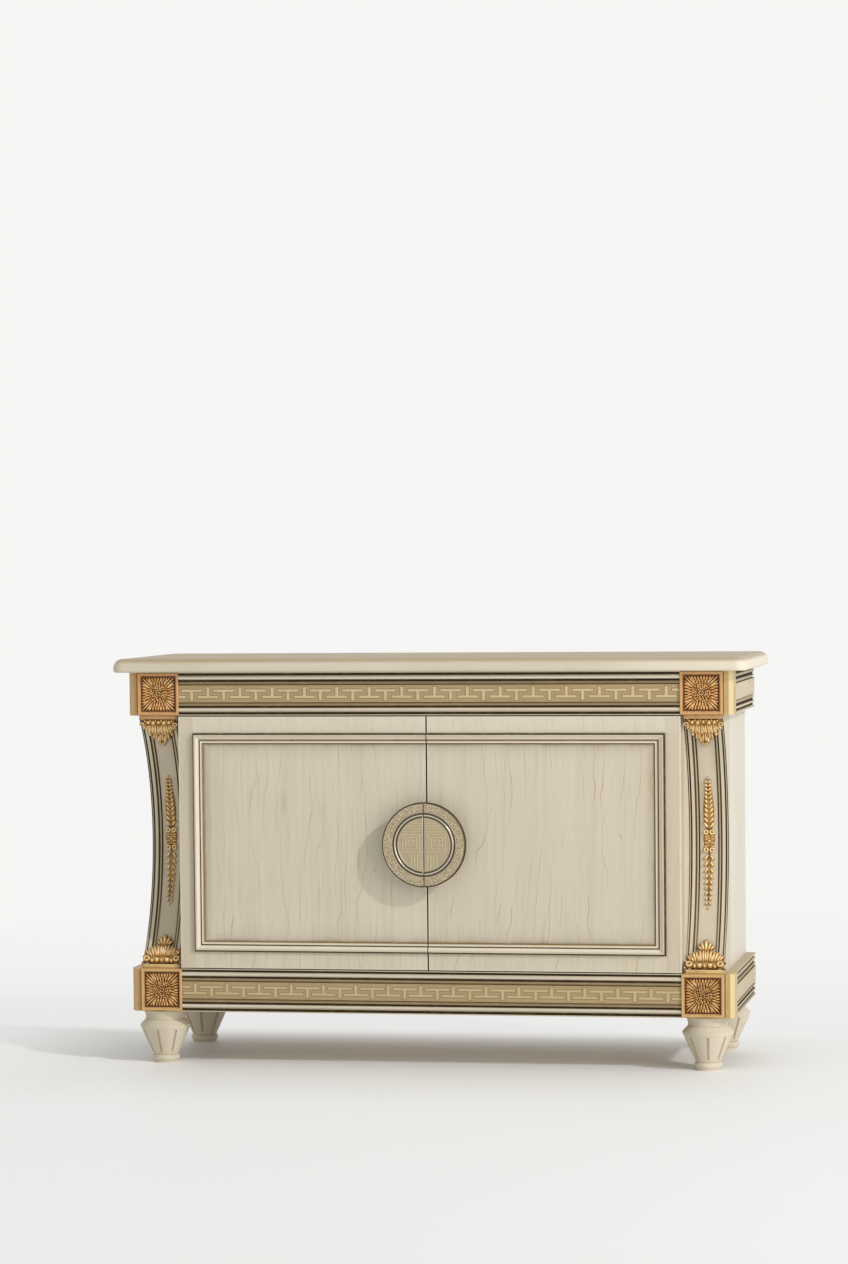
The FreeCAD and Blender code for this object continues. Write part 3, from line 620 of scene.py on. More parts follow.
@dataclass(frozen=True)
class Gilding:
    """Gold paint over carving, with an umber glaze in the hollows that also paints their shade, and painted
    highlights on the crests.
    """

    gold: Colour = srgb(212, 164, 92)
    # bright is the painted highlight on the crests of carving; umber is the glaze in the hollows, which also
    # paints their shade.
    bright: Colour = srgb(252, 232, 184)
    umber: Colour = srgb(88, 48, 14)
    frame: Colour = srgb(206, 160, 108)
    metallic: float = 0.18
    roughness: float = 0.4
    sheen: float = 0.35

    def worn(self, shader: Shader, scale: float, share: float) -> Socket:
        """Colour of flat gold, rubbed in patches."""
        return shader.blend(self.frame, self.umber, shader.noise(scale).rise(0.45, 0.8) * share)

    def finish(self, shader: Shader, colour: Socket, rubbed: Field, metallic: Number = 0.0) -> Material:
        """Give a material the colour and the sheen of the gold.

        Args:
            shader: Material to finish.
            colour: Its colour.
            rubbed: How far each place is rubbed.
            metallic: How metallic it is.

        Returns:
            The finished material.
        """
        gloss = rubbed * 0.14 + (self.roughness - 0.07)
        relief = shader.noise(700.0)
        return shader.coat(
            colour, gloss, relief, 0.12, 0.4 * MM, Metallic=metallic, Specular_IOR_Level=self.sheen
        )

    def _carved(self, shader: Shader, height: Field, reach: float) -> tuple[Socket, Field, Field]:
        """Gild carving by how far each place stands off its ground, with umber glaze and painted shade where
        two lobes meet, and painted highlight on the crests.

        Args:
            shader: Material to add to.
            height: Distance off the ground.
            reach: Height of the highest places.

        Returns:
            The colour socket, how far each place is rubbed and how metallic it is.
        """
        crest = shader.attribute(CREST)
        raised = height.rise(0.06 * reach, 0.42 * reach).least(crest.rise(0.12, 0.66))
        top = height.rise(0.4 * reach, 0.9 * reach) * crest.rise(0.6, 0.95)
        rubbed = shader.noise(140.0).rise(0.35, 0.75)
        # Umber as glaze and painted shade where a lobe sinks to its ground and where two lobes meet.
        colour = shader.blend(self.umber, self.gold, raised * (rubbed * 0.25 + 0.75))
        # Painted highlight: the crests are paled towards the bright colour.
        colour = shader.blend(colour, self.bright, top * (rubbed * 0.4 + 0.4))
        return colour, rubbed, raised * self.metallic

    def plaque(self, name: str, plaque: Plaque) -> Material:
        """Gilding of the flat plaques: a plain frame round the carving.

        Args:
            name: Name of the material.
            plaque: The plaque on the right side.

        Returns:
            The material.
        """
        shader = Shader(name)
        low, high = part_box(plaque.node)
        middle = (low + high) / 2.0
        inner = (high.x - low.x) / 2.0 - plaque.frame
        across, along, height = shader.axes()
        off = (across.size() - middle.x).size().most((height - middle.z).size())
        rim = off.rise(inner + 0.4 * MM, inner + 1.0 * MM)
        colour, rubbed, metallic = self._carved(shader, low.y + plaque.sunk - along, plaque.sunk)
        colour = shader.blend(colour, self.worn(shader, 110.0, 0.22), rim)
        return self.finish(shader, colour, rubbed, metallic)

    def band(self, name: str) -> Material:
        """Gilding of the flat bands, rubbed in patches."""
        shader = Shader(name)
        return self.finish(shader, self.worn(shader, 90.0, 0.3), shader.noise(90.0).rise(0.45, 0.8))

    def carving(self, name: str, column: Column, ground: float, reach: float) -> Material:
        """Gilding of what is carved on the hollow face of a pilaster.

        Args:
            name: Name of the material.
            column: Sizes of the pilaster.
            ground: Radius of the face that the carving lies on.
            reach: Height of the carving over it.

        Returns:
            The material.
        """
        shader = Shader(name)
        _, along, height = shader.axes()
        radius = (along - column.axis_y).away(height - column.middle)
        return self.finish(shader, *self._carved(shader, ground - radius, reach))


PLAQUE_GOLD = {
    Level.LOWER: Gilding(
        gold=srgb(194, 142, 76), bright=srgb(248, 212, 160), umber=srgb(90, 46, 8), frame=srgb(208, 168, 110)
    ),
    Level.UPPER: Gilding(
        gold=srgb(210, 154, 84), bright=srgb(255, 224, 174), umber=srgb(94, 48, 8), frame=srgb(208, 160, 108)
    ),
}
BAND_GOLD = {Level.LOWER: Gilding(frame=srgb(214, 180, 118)), Level.UPPER: Gilding()}
WHEAT_GOLD = Gilding(gold=srgb(236, 196, 124), bright=srgb(255, 242, 200), umber=srgb(138, 92, 38))


@dataclass(frozen=True)
class BlockGilding:
    """Even gold of the corner blocks and their beads, with a painted highlight on the chamfer and painted
    shade at the left.
    """

    even: Colour = srgb(190, 166, 112)
    patchy: Colour = srgb(178, 148, 94)
    chamfer: Colour = srgb(220, 198, 148)
    warm: Colour = srgb(192, 152, 102)
    umber: Colour = srgb(88, 48, 14)
    chamfer_across: Spot = (705.5 * MM, 707.5 * MM)
    chamfer_along: Spot = (-207.0 * MM, -209.5 * MM)
    warm_across: Spot = (0.2, -0.2)
    line_half: Spot = (1.4 * MM, 0.5 * MM)
    metallic: float = 0.15
    roughness: float = 0.42

    def material(self, name: str, line_at: float | None = None) -> Material:
        """Finish of a block or a bead.

        Args:
            name: Name of the material.
            line_at: Distance from the cabinet's middle of the dark line beside the plaque, if any.

        Returns:
            The material.
        """
        shader = Shader(name)
        signed, along, _ = shader.axes()
        across = signed.size()
        chamfer = across.rise(*self.chamfer_across) * along.rise(*self.chamfer_along)
        patch = shader.noise(22.0).rise(0.3, 0.75)
        colour = shader.blend(self.even, self.patchy, patch * 0.6)
        # Painted highlight: the chamfer is paled as if lit.
        colour = shader.blend(colour, self.chamfer, chamfer * 0.8)
        # Painted shade: darker and warmer towards the left, away from the lamps.
        colour = shader.blend(colour, self.warm, signed.rise(*self.warm_across) * 0.7)
        if line_at is not None:
            line = (across - line_at).size().rise(*self.line_half)
            colour = shader.blend(colour, self.umber, line * 0.6)
        gloss = shader.gloss(120.0, self.roughness, 0.16)
        return shader.coat(colour, gloss, shader.noise(500.0), 0.06, 0.4 * MM, Metallic=self.metallic)


@dataclass(frozen=True)
class Lacquer:
    """Cream lacquer, rubbed thin, with a brown glaze that stays in the hollows."""

    cream: Colour = srgb(212, 202, 182)
    shade: Colour = srgb(194, 181, 156)
    aged: Colour = srgb(172, 152, 117)
    stain: Colour = srgb(136, 114, 74)
    glaze: Colour = srgb(46, 30, 6)
    # rubbed paints light on the right end of the top's edge and on the rail's shaded upper bead, and
    # highlight on the moulding beads.
    rubbed: Colour = srgb(236, 228, 208)
    roughness: float = 0.46
    sheen: float = 0.16

    def paint(self, shader: Shader, glaze: Number, grain: Stretch = EVEN, age: float = 0.0) -> Socket:
        """Colour of the lacquer.

        Args:
            shader: Material to add to.
            glaze: How much glaze lies on each place: the first half stains the cream, the rest covers it.
            grain: How much denser the streaks are along each axis.
            age: How far the lacquer has darkened.

        Returns:
            The colour socket.
        """
        cloud = shader.noise(5.0, detail=2.0).rise(0.3, 0.75)
        streak = shader.noise(26.0, grain).rise(0.35, 0.7)
        cream = shader.blend(self.cream, self.shade, cloud * 0.3 + streak * 0.22)
        if age:
            cream = shader.blend(cream, self.aged, age)
        stained = shader.blend(cream, self.stain, glaze * 2.0)
        return shader.blend(stained, self.glaze, glaze * 2.0 - 1.0)

    def finish(self, shader: Shader, colour: Socket) -> Material:
        """Give a material the colour and the satin sheen of the lacquer."""
        gloss = shader.gloss(60.0, self.roughness, 0.16)
        return shader.coat(colour, gloss, shader.noise(420.0), 0.06, 0.4 * MM, Specular_IOR_Level=self.sheen)

    def top(self, height: float) -> Material:
        """Lacquer of the top, aged darker on its upper face, with painted light on the right end of its edge.

        Args:
            height: Height of the upper face.

        Returns:
            The material.
        """
        shader = Shader("cream_top")
        across, _, above = shader.axes()
        upper = above.rise(height - 13.0 * MM, height - 4.0 * MM)
        edge = self.paint(shader, 0.0, level_run(0.12))
        # Painted light: the edge is paled towards the right end, where the lamps fall on it.
        edge = shader.blend(edge, self.rubbed, across.rise(0.3, 0.72) * 0.5)
        figure = shader.noise(8.0, level_run(0.12), 4.0).rise(0.3, 0.7)
        fibre = shader.noise(90.0, level_run(0.04)).rise(0.42, 0.75)
        face = shader.blend(shader.blend(self.aged, self.shade, figure * 0.45), self.stain, fibre * 0.3)
        return self.finish(shader, shader.blend(edge, face, upper * 0.84))

    def carcass(self, board: Board, outer: float, front: float) -> Material:
        """Lacquer of the outer face and the front edge of a carcass side, over its plain board.

        Args:
            board: Finish of its inner face.
            outer: Distance of the outer face from the middle of the cabinet.
            front: Place of the front edge along Y.

        Returns:
            The material.
        """
        shader = Shader("cream_carcass")
        across, along, _ = shader.axes()
        grain = upright(0.1)
        shows = across.size().rise(outer - 0.6 * MM, outer - 0.2 * MM)
        edge = along.rise(front + 0.6 * MM, front + 0.2 * MM)
        colour = shader.blend(board.colour(shader, grain), self.paint(shader, 0.0, grain), shows)
        return self.finish(shader, shader.blend(colour, self.paint(shader, 0.05, grain), edge))

    def rail(
        self, name: str, low: float, high: float, glaze: Stops, age: float = 0.0, worn: float = 0.0
    ) -> Material:
        """Lacquer of a moulded rail, glazed in the channels beside its beads.

        Args:
            name: Name of the material.
            low: Height of the rail's lower edge.
            high: Height of its upper edge.
            glaze: How much glaze lies at each distance from its edges.
            age: How far the lacquer has darkened.
            worn: How far its upper bead is painted pale, as painted light where the top's overhang shades it.

        Returns:
            The material.
        """
        shader = Shader(name)
        height = shader.axes()[2]
        edge = (height - low).least(high - height)
        uneven = shader.noise(38.0).rise(0.2, 0.6) * 0.1 + 0.9
        colour = self.paint(shader, edge.stepped(glaze) * uneven, (0.2, 0.2, 1.0), age)
        # Painted light: the upper bead is paled where the top's overhang shades it.
        if worn:
            bead = edge.stepped(RAIL_BEAD) * height.rise(low, high)
            colour = shader.blend(colour, self.rubbed, bead * worn)
        return self.finish(shader, colour)

    def moulding(self, frame: DoorFrame) -> Material:
        """Lacquer of the door mouldings, glazed in the quirks and with painted highlight on the beads.

        Args:
            frame: Outline of the mouldings.

        Returns:
            The material.
        """
        shader = Shader("cream_moulding")
        inward = frame.inward(shader)
        uneven = shader.noise(45.0).rise(0.2, 0.6) * 0.22 + 0.78
        painted = self.paint(shader, inward.stepped(MOULDING_GLAZE) * uneven)
        # The beads are rubbed pale, which also paints in their highlights.
        painted = shader.blend(painted, self.rubbed, inward.stepped(MOULDING_BEADS) * uneven)
        return self.finish(shader, painted)

    def pilaster(self, column: Column, gilding: Gilding) -> Material:
        """Lacquer of the pilasters: glaze lines along the edges, painted shade towards the lower end and
        gilded lands at the ends.

        Args:
            column: Sizes of the pilaster.
            gilding: Gold of the lands.

        Returns:
            The material.
        """
        shader = Shader("cream_pilaster")
        height = shader.axes()[2]
        edge = column.from_edge(shader)
        from_middle = (height - column.middle).size()
        land = from_middle.rise(column.curve_half - 0.6 * MM, column.curve_half + 0.6 * MM)
        painted = self.paint(shader, edge.stepped(PILASTER_GLAZE), upright(0.15))
        # Painted shade: darker towards the lower end, where the hollow face turns up to the lamps.
        painted = shader.blend(painted, self.shade, (column.middle - height).rise(0.05, 0.27) * 0.45)
        gold = gilding.worn(shader, 90.0, 0.3)
        return self.finish(shader, shader.blend(painted, gold, land * edge.rise(0.1 * MM, 0.3 * MM)))

    def cove(self, column: Column) -> Material:
        """Lacquer of the cove strips in the pilasters, with glaze in the cove and a pale fillet.

        Args:
            column: Sizes of the pilaster.

        Returns:
            The material.
        """
        shader = Shader("cream_cove")
        glaze = column.from_edge(shader).stepped(COVE_GLAZE)
        return self.finish(shader, self.paint(shader, glaze, upright(0.15)))

    def foot(self, name: str, centre: Spot) -> Material:
        """Lacquer of a turned foot, with glaze in its flutes and under its collar.

        Args:
            name: Name of the material.
            centre: Place of the foot's axis on the right side.

        Returns:
            The material.
        """
        shader = Shader(name)
        across, along, height = shader.axes()
        radius = (across.size() - centre[0]).away(along - centre[1])
        sunk = height.stepped(FOOT_CONE) * FOOT_UNIT - radius
        on_cone = height.rise(24.0 * MM, 27.0 * MM) * height.rise(83.0 * MM, 80.0 * MM)
        flute = sunk.rise(0.3 * MM, 1.6 * MM) * on_cone * 0.11
        glaze = flute.most(height.stepped(FOOT_GLAZE) * 0.7)
        return self.finish(shader, self.paint(shader, glaze, upright(0.3)))


@dataclass(frozen=True)
class Veneer:
    """Bleached veneer with upright grain and a few wandering veins."""

    pale: Colour = srgb(210, 201, 181)
    dark: Colour = srgb(191, 178, 152)
    vein: Colour = srgb(162, 128, 82)
    glaze: Colour = srgb(96, 74, 46)
    # worn is the pale of worn edges, and also painted light on the doors' upper rails under the top's
    # overhang.
    worn: Colour = srgb(226, 218, 200)
    # The seam colour is painted shadow in the gaps round the doors.
    seam: Colour = srgb(46, 36, 24)
    glaze_depth: float = 3.0 * MM
    seam_depth: float = 14.0 * MM
    roughness: float = 0.46
    sheen: float = 0.25

    def wood(self, shader: Shader) -> Socket:
        """Colour of the wood itself.

        Args:
            shader: Material to add to.

        Returns:
            The colour socket.
        """
        cloud = shader.noise(3.5, upright(0.5), 2.0).rise(0.3, 0.75)
        grain = shader.noise(170.0, upright(0.015)).rise(0.3, 0.75)
        wide = shader.noise(34.0, upright(0.05)).rise(0.4, 0.75)
        wood = shader.blend(self.pale, self.dark, cloud * 0.24 + grain * 0.24 + wide * 0.2)
        across, along, _ = shader.axes()
        place = across + along
        first = (place + shader.noise(3.2, (1.6, 1.0, 0.6)) * 0.17).wave(31.0 * MM).rise(0.982, 0.9995)
        second = (place + shader.noise(4.6, (1.4, 1.0, 0.5)) * 0.13).wave(47.0 * MM).rise(0.988, 0.9995)
        broken = shader.noise(13.0, upright(0.5)).rise(0.44, 0.62)
        patchy = shader.noise(9.0, upright(0.4)).rise(0.46, 0.6)
        pores = shader.noise(110.0, upright(0.05), 2.0).rise(0.6, 0.74)
        pores = pores * shader.noise(9.0).rise(0.42, 0.62)
        veins = (first * broken).most(second * patchy * 0.8) * 0.52
        return shader.blend(wood, self.vein, veins.most(pores * 0.3))

    def finish(self, shader: Shader, colour: Socket) -> Material:
        """Give a material the colour and the satin sheen of the veneer.

        Args:
            shader: Material to finish.
            colour: Its colour.

        Returns:
            The finished material.
        """
        gloss = shader.gloss(30.0, self.roughness, 0.18, upright(0.2))
        relief = shader.noise(220.0, upright(0.03))
        return shader.coat(colour, gloss, relief, 0.05, 0.3 * MM, Specular_IOR_Level=self.sheen)

    def panel(self) -> Material:
        """Veneer of the side panels."""
        shader = Shader("veneer_side")
        return self.finish(shader, self.wood(shader))

    def door(self, frame: DoorFrame) -> Material:
        """Veneer of the doors, glazed beside the mouldings, worn pale at the edges, with painted light on the
        upper rails and painted shadow in the seams.

        Args:
            frame: Outline of the mouldings.

        Returns:
            The material.
        """
        shader = Shader("veneer_door")
        across, _, height = shader.axes()
        face = frame.near_front(shader, self.glaze_depth)
        lit_head = (height - frame.middle - frame.moulding_half).rise(-2.0 * MM, 2.0 * MM)
        stile = (across.size() - frame.moulding_x).rise(-2.0 * MM, 2.0 * MM)
        uneven = shader.noise(18.0).rise(0.2, 0.7) * 0.4 + 0.6
        glaze = frame.inward(shader).stepped(DOOR_GLAZE) * uneven
        # Painted light: the upper rail is paled where the top's overhang shades it.
        wood = shader.blend(self.wood(shader), self.worn, lit_head * face * 0.34)
        wood = shader.blend(wood, self.dark, stile * face * 0.44)
        wood = shader.blend(wood, self.glaze, glaze * face)
        wood = shader.blend(wood, self.worn, frame.from_edge(shader).rise(3.2 * MM, 1.2 * MM) * 0.5)
        # Painted shadow: dark in the seams, near the front.
        seam = frame.from_seam(shader).rise(0.7 * MM, 0.2 * MM) * frame.near_front(shader, self.seam_depth)
        return self.finish(shader, shader.blend(wood, self.seam, seam))


@dataclass(frozen=True)
class Inlay:
    """Tan band with a raised pale meander in a darker outline."""

    tan: Colour = srgb(174, 152, 114)
    pale: Colour = srgb(202, 184, 147)
    dusk: Colour = srgb(146, 122, 82)
    roughness: float = 0.535
    sheen: float = 0.2

    def material(self, name: str, ground: float, reach: float) -> Material:
        """Finish of the band.

        Args:
            name: Name of the material.
            ground: Place of the band's face along Y.
            reach: Height of the meander over it.

        Returns:
            The material.
        """
        shader = Shader(name)
        height = ground - shader.axes()[1]
        raised = height.rise(0.45 * reach, 0.8 * reach)
        outline = height.rise(0.1 * reach, 0.3 * reach)
        streak = shader.noise(40.0, (0.25, 1.0, 1.5)).rise(0.3, 0.7)
        tan = shader.blend(self.tan, self.dusk, (streak * 0.25).most(outline * 0.8))
        pale = shader.blend(self.pale, self.tan, shader.noise(60.0).rise(0.4, 0.8) * 0.35)
        colour = shader.blend(tan, pale, raised)
        gloss = shader.gloss(80.0, self.roughness, 0.15)
        return shader.coat(colour, gloss, shader.noise(300.0), 0.08, 0.3 * MM, Specular_IOR_Level=self.sheen)


@dataclass(frozen=True)
class Metal:
    """Plated or turned metal with fine wear."""

    name: str
    colour: Colour
    dull: Colour
    roughness: float
    metallic: float = 1.0

    def material(self) -> Material:
        """Finish with an even face.

        Returns:
            The material.
        """
        shader = Shader(self.name)
        colour = shader.blend(self.colour, self.dull, shader.noise(160.0).rise(0.35, 0.8) * 0.5)
        gloss = shader.gloss(320.0, self.roughness, 0.14)
        return shader.coat(colour, gloss, shader.noise(900.0), 0.05, 0.2 * MM, Metallic=self.metallic)


@dataclass(frozen=True)
class CastMetal(Metal):
    """Metal of the cast pull: darkened in its grooves and round its edge, and stippled on the outer band with
    dark pits and painted glints.
    """

    glint: Colour = srgb(238, 226, 194)
    pit: Colour = srgb(112, 88, 54)
    groove: Colour = srgb(52, 38, 22)
    cast_depth: float = 4.0 * MM
    band_from: Spot = (76.5 * MM, 78.0 * MM)

    def pull(self, front: float, face_depth: float, middle: float) -> Material:
        """Finish of the pull.

        Args:
            front: Place of the front along Y.
            face_depth: Depth of the disc's inner face behind the front.
            middle: Height of the pull's middle.

        Returns:
            The material.
        """
        shader = Shader(self.name)
        across, along, height = shader.axes()
        radius = across.away(height - middle)
        on_band = radius.rise(*self.band_from)
        raised = (front + face_depth - along).rise(0.0, 0.6 * MM)
        on_front = (front + self.cast_depth - along).rise(0.0, 1.0 * MM)
        sunk = (1.0 - raised) * (on_band * 0.24 + 0.2) * on_front
        speck = shader.noise(390.0, detail=1.0) - 0.5
        colour = shader.blend(self.colour, self.dull, shader.noise(130.0).rise(0.35, 0.75) * 0.4)
        # Painted highlight: pale glints on the stipple of the outer band.
        colour = shader.blend(colour, self.glint, speck.rise(0.02, 0.12) * on_band * 0.7)
        colour = shader.blend(colour, self.pit, speck.rise(-0.02, -0.12) * on_band * 0.64)
        colour = shader.blend(colour, self.groove, radius.stepped(PULL_GLAZE).most(sunk))
        gloss = shader.gloss(260.0, self.roughness, 0.16)
        return shader.coat(colour, gloss, shader.noise(800.0), 0.1, 0.3 * MM, Metallic=self.metallic)


@dataclass(frozen=True)
class Plastic:
    """Brown moulded plastic of the catch."""

    colour: Colour = srgb(88, 66, 46)
    dark: Colour = srgb(70, 52, 36)
    roughness: float = 0.5

    def material(self) -> Material:
        """Finish with a fine moulded grain.

        Returns:
            The material.
        """
        shader = Shader("brown_plastic")
        colour = shader.blend(self.colour, self.dark, shader.noise(90.0))
        gloss = shader.gloss(300.0, self.roughness, 0.2)
        return shader.coat(colour, gloss, shader.noise(1200.0), 0.08, 0.2 * MM)


class Piece:
    """A mesh in the making."""

    fine_width = 8.0 * MM
    below = 0.3

    def __init__(self, name: str) -> None:
        """Start an empty mesh."""
        self.name = name
        self.mesh = bmesh.new()
        self.crest = self.mesh.verts.layers.float.new(CREST)

    def grain(
        self,
        at: Spot,
        length: float,
        width: float,
        height: float,
        turn: float,
        fullness: float,
        ground: float = 0.0,
    ) -> None:
        """Carve one teardrop that lies on the ground.

        Args:
            at: Place of its root, across and along.
            length: Length from root to tip.
            width: Greatest width.
            height: Greatest height.
            turn: Direction of the tip, from the along axis towards across, in radians.
            fullness: How much fuller the tip half is than the root half.
            ground: Height of its middle plane.
        """
        around, along = (12, 8) if width > self.fine_width else (8, 6)
        made = bmesh.ops.create_uvsphere(self.mesh, u_segments=around, v_segments=along, radius=1.0)["verts"]
        for vert in made:
            vert[self.crest] = max(vert.co.y, 0.0)
            swell = 1.0 + fullness * vert.co.z
            depth = vert.co.y * height * swell
            vert.co = Vector(
                (
                    vert.co.x * width / 2.0 * swell,
                    (vert.co.z + 1.0) / 2.0 * length,
                    depth if depth > 0.0 else depth * self.below,
                )
            )
        place = Matrix.Translation((at[0], at[1], ground)) @ Matrix.Rotation(-turn, 4, "Z")
        bmesh.ops.transform(self.mesh, matrix=place, verts=made)

    def lobe(
        self, root: Spot, tip: Spot, width: float, height: float, fullness: float = 0.3, ground: float = 0.0
    ) -> None:
        """Carve a plain lobe from its root to its tip."""
        run = Vector((tip[0] - root[0], tip[1] - root[1]))
        self.grain(root, run.length, width, height, math.atan2(run.x, run.y), fullness, ground)

    def leaf(self, root: Spot, tip: Spot, width: float, height: float) -> None:
        """Carve a leaf with a groove along its middle.

        Args:
            root: Place of its root, across and along.
            tip: Place of its tip.
            width: Greatest width.
            height: Greatest height.
        """
        apart, half_width, splay, fullness = 0.16, 0.62, 0.14, 0.3
        run = Vector((tip[0] - root[0], tip[1] - root[1]))
        beside = Vector((run.y, -run.x)).normalized() * width * apart
        for sign in BOTH:
            start = (root[0] + sign * beside.x, root[1] + sign * beside.y)
            turn = math.atan2(run.x, run.y) + sign * width * splay / run.length
            self.grain(start, run.length, width * half_width, height, turn, fullness)

    def ball(self, at: Spot, radius: float, height: float, ground: float = 0.0) -> None:
        """Carve a round berry."""
        self.grain((at[0], at[1] - radius), 2.0 * radius, 2.0 * radius, height, 0.0, 0.0, ground)

    def curl(self, at: Spot, radius: float, thickness: float, height: float) -> None:
        """Carve a small ring with an eye, as the end of a scroll.

        Args:
            at: Place of its middle.
            radius: Radius of the ring's middle line.
            thickness: Radius of the ring's section.
            height: Height of the ring off the ground.
        """
        section = Matrix.Translation((at[0] + radius, at[1], height - thickness))
        section = section @ Matrix.Rotation(QUARTER_TURN, 4, "X")
        ring = bmesh.ops.create_circle(self.mesh, segments=8, radius=thickness, matrix=section)["verts"]
        for vert in ring:
            vert[self.crest] = max((vert.co.z - height) / thickness + 1.0, 0.0)
        bmesh.ops.spin(
            self.mesh,
            geom=ring + self.edges_of(ring),
            cent=(at[0], at[1], 0.0),
            axis=(0.0, 0.0, 1.0),
            angle=FULL_TURN,
            steps=16,
            use_merge=True,
        )
        self.ball(at, radius * 0.45, height)

    @staticmethod
    def edges_of(verts: Iterable[bmesh.types.BMVert]) -> list[bmesh.types.BMEdge]:
        """Edges at some points, each of them once."""
        return list(dict.fromkeys(edge for vert in verts for edge in vert.link_edges))

    def ease_edges(self, edges: list[bmesh.types.BMEdge], offset: float, segments: int = 1) -> None:
        """Take the sharpness off some edges.

        Args:
            edges: Edges to ease.
            offset: Width that is taken off on each side.
            segments: Number of facets.
        """
        bmesh.ops.bevel(
            self.mesh,
            geom=edges,
            offset=offset,
            offset_type="OFFSET",
            affect="EDGES",
            segments=segments,
            profile=0.5,
            material=-1,
        )

    def slab(self, centre: Spot, size: Spot, turn: float = 0.0) -> list[bmesh.types.BMVert]:
        """Add a square block."""
        place = Matrix.Translation(centre) @ Matrix.Rotation(turn, 4, "Z") @ Matrix.Diagonal((*size, 1.0))
        return bmesh.ops.create_cube(self.mesh, size=1.0, matrix=place)["verts"]

    def rod(self, place: Matrix, radius: float, length: float, segments: int) -> list[bmesh.types.BMVert]:
        """Add an upright round rod.

        Args:
            place: Place of its middle.
            radius: Its radius.
            length: Its length.
            segments: Number of its sides.

        Returns:
            Its points.
        """
        return bmesh.ops.create_cone(
            self.mesh,
            cap_ends=True,
            segments=segments,
            radius1=radius,
            radius2=radius,
            depth=length,
            matrix=place,
        )["verts"]

    def bar(self, start: Spot, stop: Spot, width: float, height: float) -> None:
        """Lay a straight raised line with eased edges.

        Args:
            start: One end, across and along.
            stop: The other end.
            width: Width of the line.
            height: Height off the ground.
        """
        run = Vector((stop[0] - start[0], stop[1] - start[1]))
        centre = ((start[0] + stop[0]) / 2.0, (start[1] + stop[1]) / 2.0, height / 2.0)
        made = self.slab(centre, (run.length + width, width, height), math.atan2(run.y, run.x))
        upper = sorted(made, key=lambda vert: vert.co.z)[4:]
        edges = [edge for edge in self.edges_of(upper) if all(vert in upper for vert in edge.verts)]
        self.ease_edges(edges, width * 0.2)

    def extruded(self, outline: Sequence[Spot], height: float, ease: float) -> None:
        """Raise a flat outline off the ground.

        Args:
            outline: Corners, across and along, in order.
            height: Height off the ground.
            ease: Width of the eased upper edge.
        """
        verts = [self.mesh.verts.new((corner[0], corner[1], 0.0)) for corner in outline]
        face = self.mesh.faces.new(verts)
        raised = bmesh.ops.extrude_face_region(self.mesh, geom=[face])["geom"]
        top = next(item for item in raised if isinstance(item, bmesh.types.BMFace))
        bmesh.ops.translate(self.mesh, verts=top.verts[:], vec=(0.0, 0.0, height))
        self.ease_edges(top.edges[:], ease)

    def lay(self, place: Callable[[Vector], Vector]) -> None:
        """Move every point to its place on the part."""
        for vert in self.mesh.verts:
            vert.co = place(vert.co)

    def turned(
        self,
        profile: Sequence[Vector],
        centre: Vector,
        steps: int,
        closed: bool = False,
        axis: Vector = DEPTH,
        angle: float = FULL_TURN,
    ) -> None:
        """Turn a profile round an axis.

        Args:
            profile: Points of the profile, in order.
            centre: A point of the axis.
            steps: Number of steps.
            closed: Whether the last point joins the first.
            axis: Direction of the axis.
            angle: Angle of the turn.
        """
        verts = [self.mesh.verts.new(point) for point in profile]
        pairs = list(zip(verts, verts[1:]))
        if closed:
            pairs.append((verts[-1], verts[0]))
        edges = [self.mesh.edges.new(pair) for pair in pairs]
        bmesh.ops.spin(
            self.mesh,
            geom=verts + edges,
            cent=centre,
            axis=axis,
            angle=angle,
            steps=steps,
            use_merge=math.isclose(angle, FULL_TURN),
        )
        bmesh.ops.remove_doubles(self.mesh, verts=self.mesh.verts, dist=MERGE)

    def take(self, other: Piece) -> None:
        """Join another mesh to this one.

        Args:
            other: Mesh that ends here.
        """
        data = bpy.data.meshes.new(other.name)
        other.mesh.to_mesh(data)
        other.mesh.free()
        self.mesh.from_mesh(data)
        bpy.data.meshes.remove(data)

    def close(self) -> None:
        """Fill every open edge loop."""
        open_edges = [edge for edge in self.mesh.edges if edge.is_boundary]
        bmesh.ops.holes_fill(self.mesh, edges=open_edges, sides=len(open_edges))

    def keep_side(self, side: Side, plane: float) -> None:
        """Cut off what lies beyond an upright plane across the middle, and close the cut.

        Args:
            side: Side that stays.
            plane: Distance of the plane from the middle.
        """
        bmesh.ops.bisect_plane(
            self.mesh,
            geom=[*self.mesh.verts, *self.mesh.edges, *self.mesh.faces],
            dist=MERGE,
            plane_co=(side.value * plane, 0.0, 0.0),
            plane_no=(side.value, 0.0, 0.0),
            clear_inner=True,
        )
        self.close()

    def crease(self, limit: float) -> None:
        """Keep sharp every edge that turns by more than a limit.

        Args:
            limit: The limit in degrees.
        """
        self.mesh.normal_update()
        for edge in self.mesh.edges:
            edge.smooth = edge.calc_face_angle(0.0) < math.radians(limit)

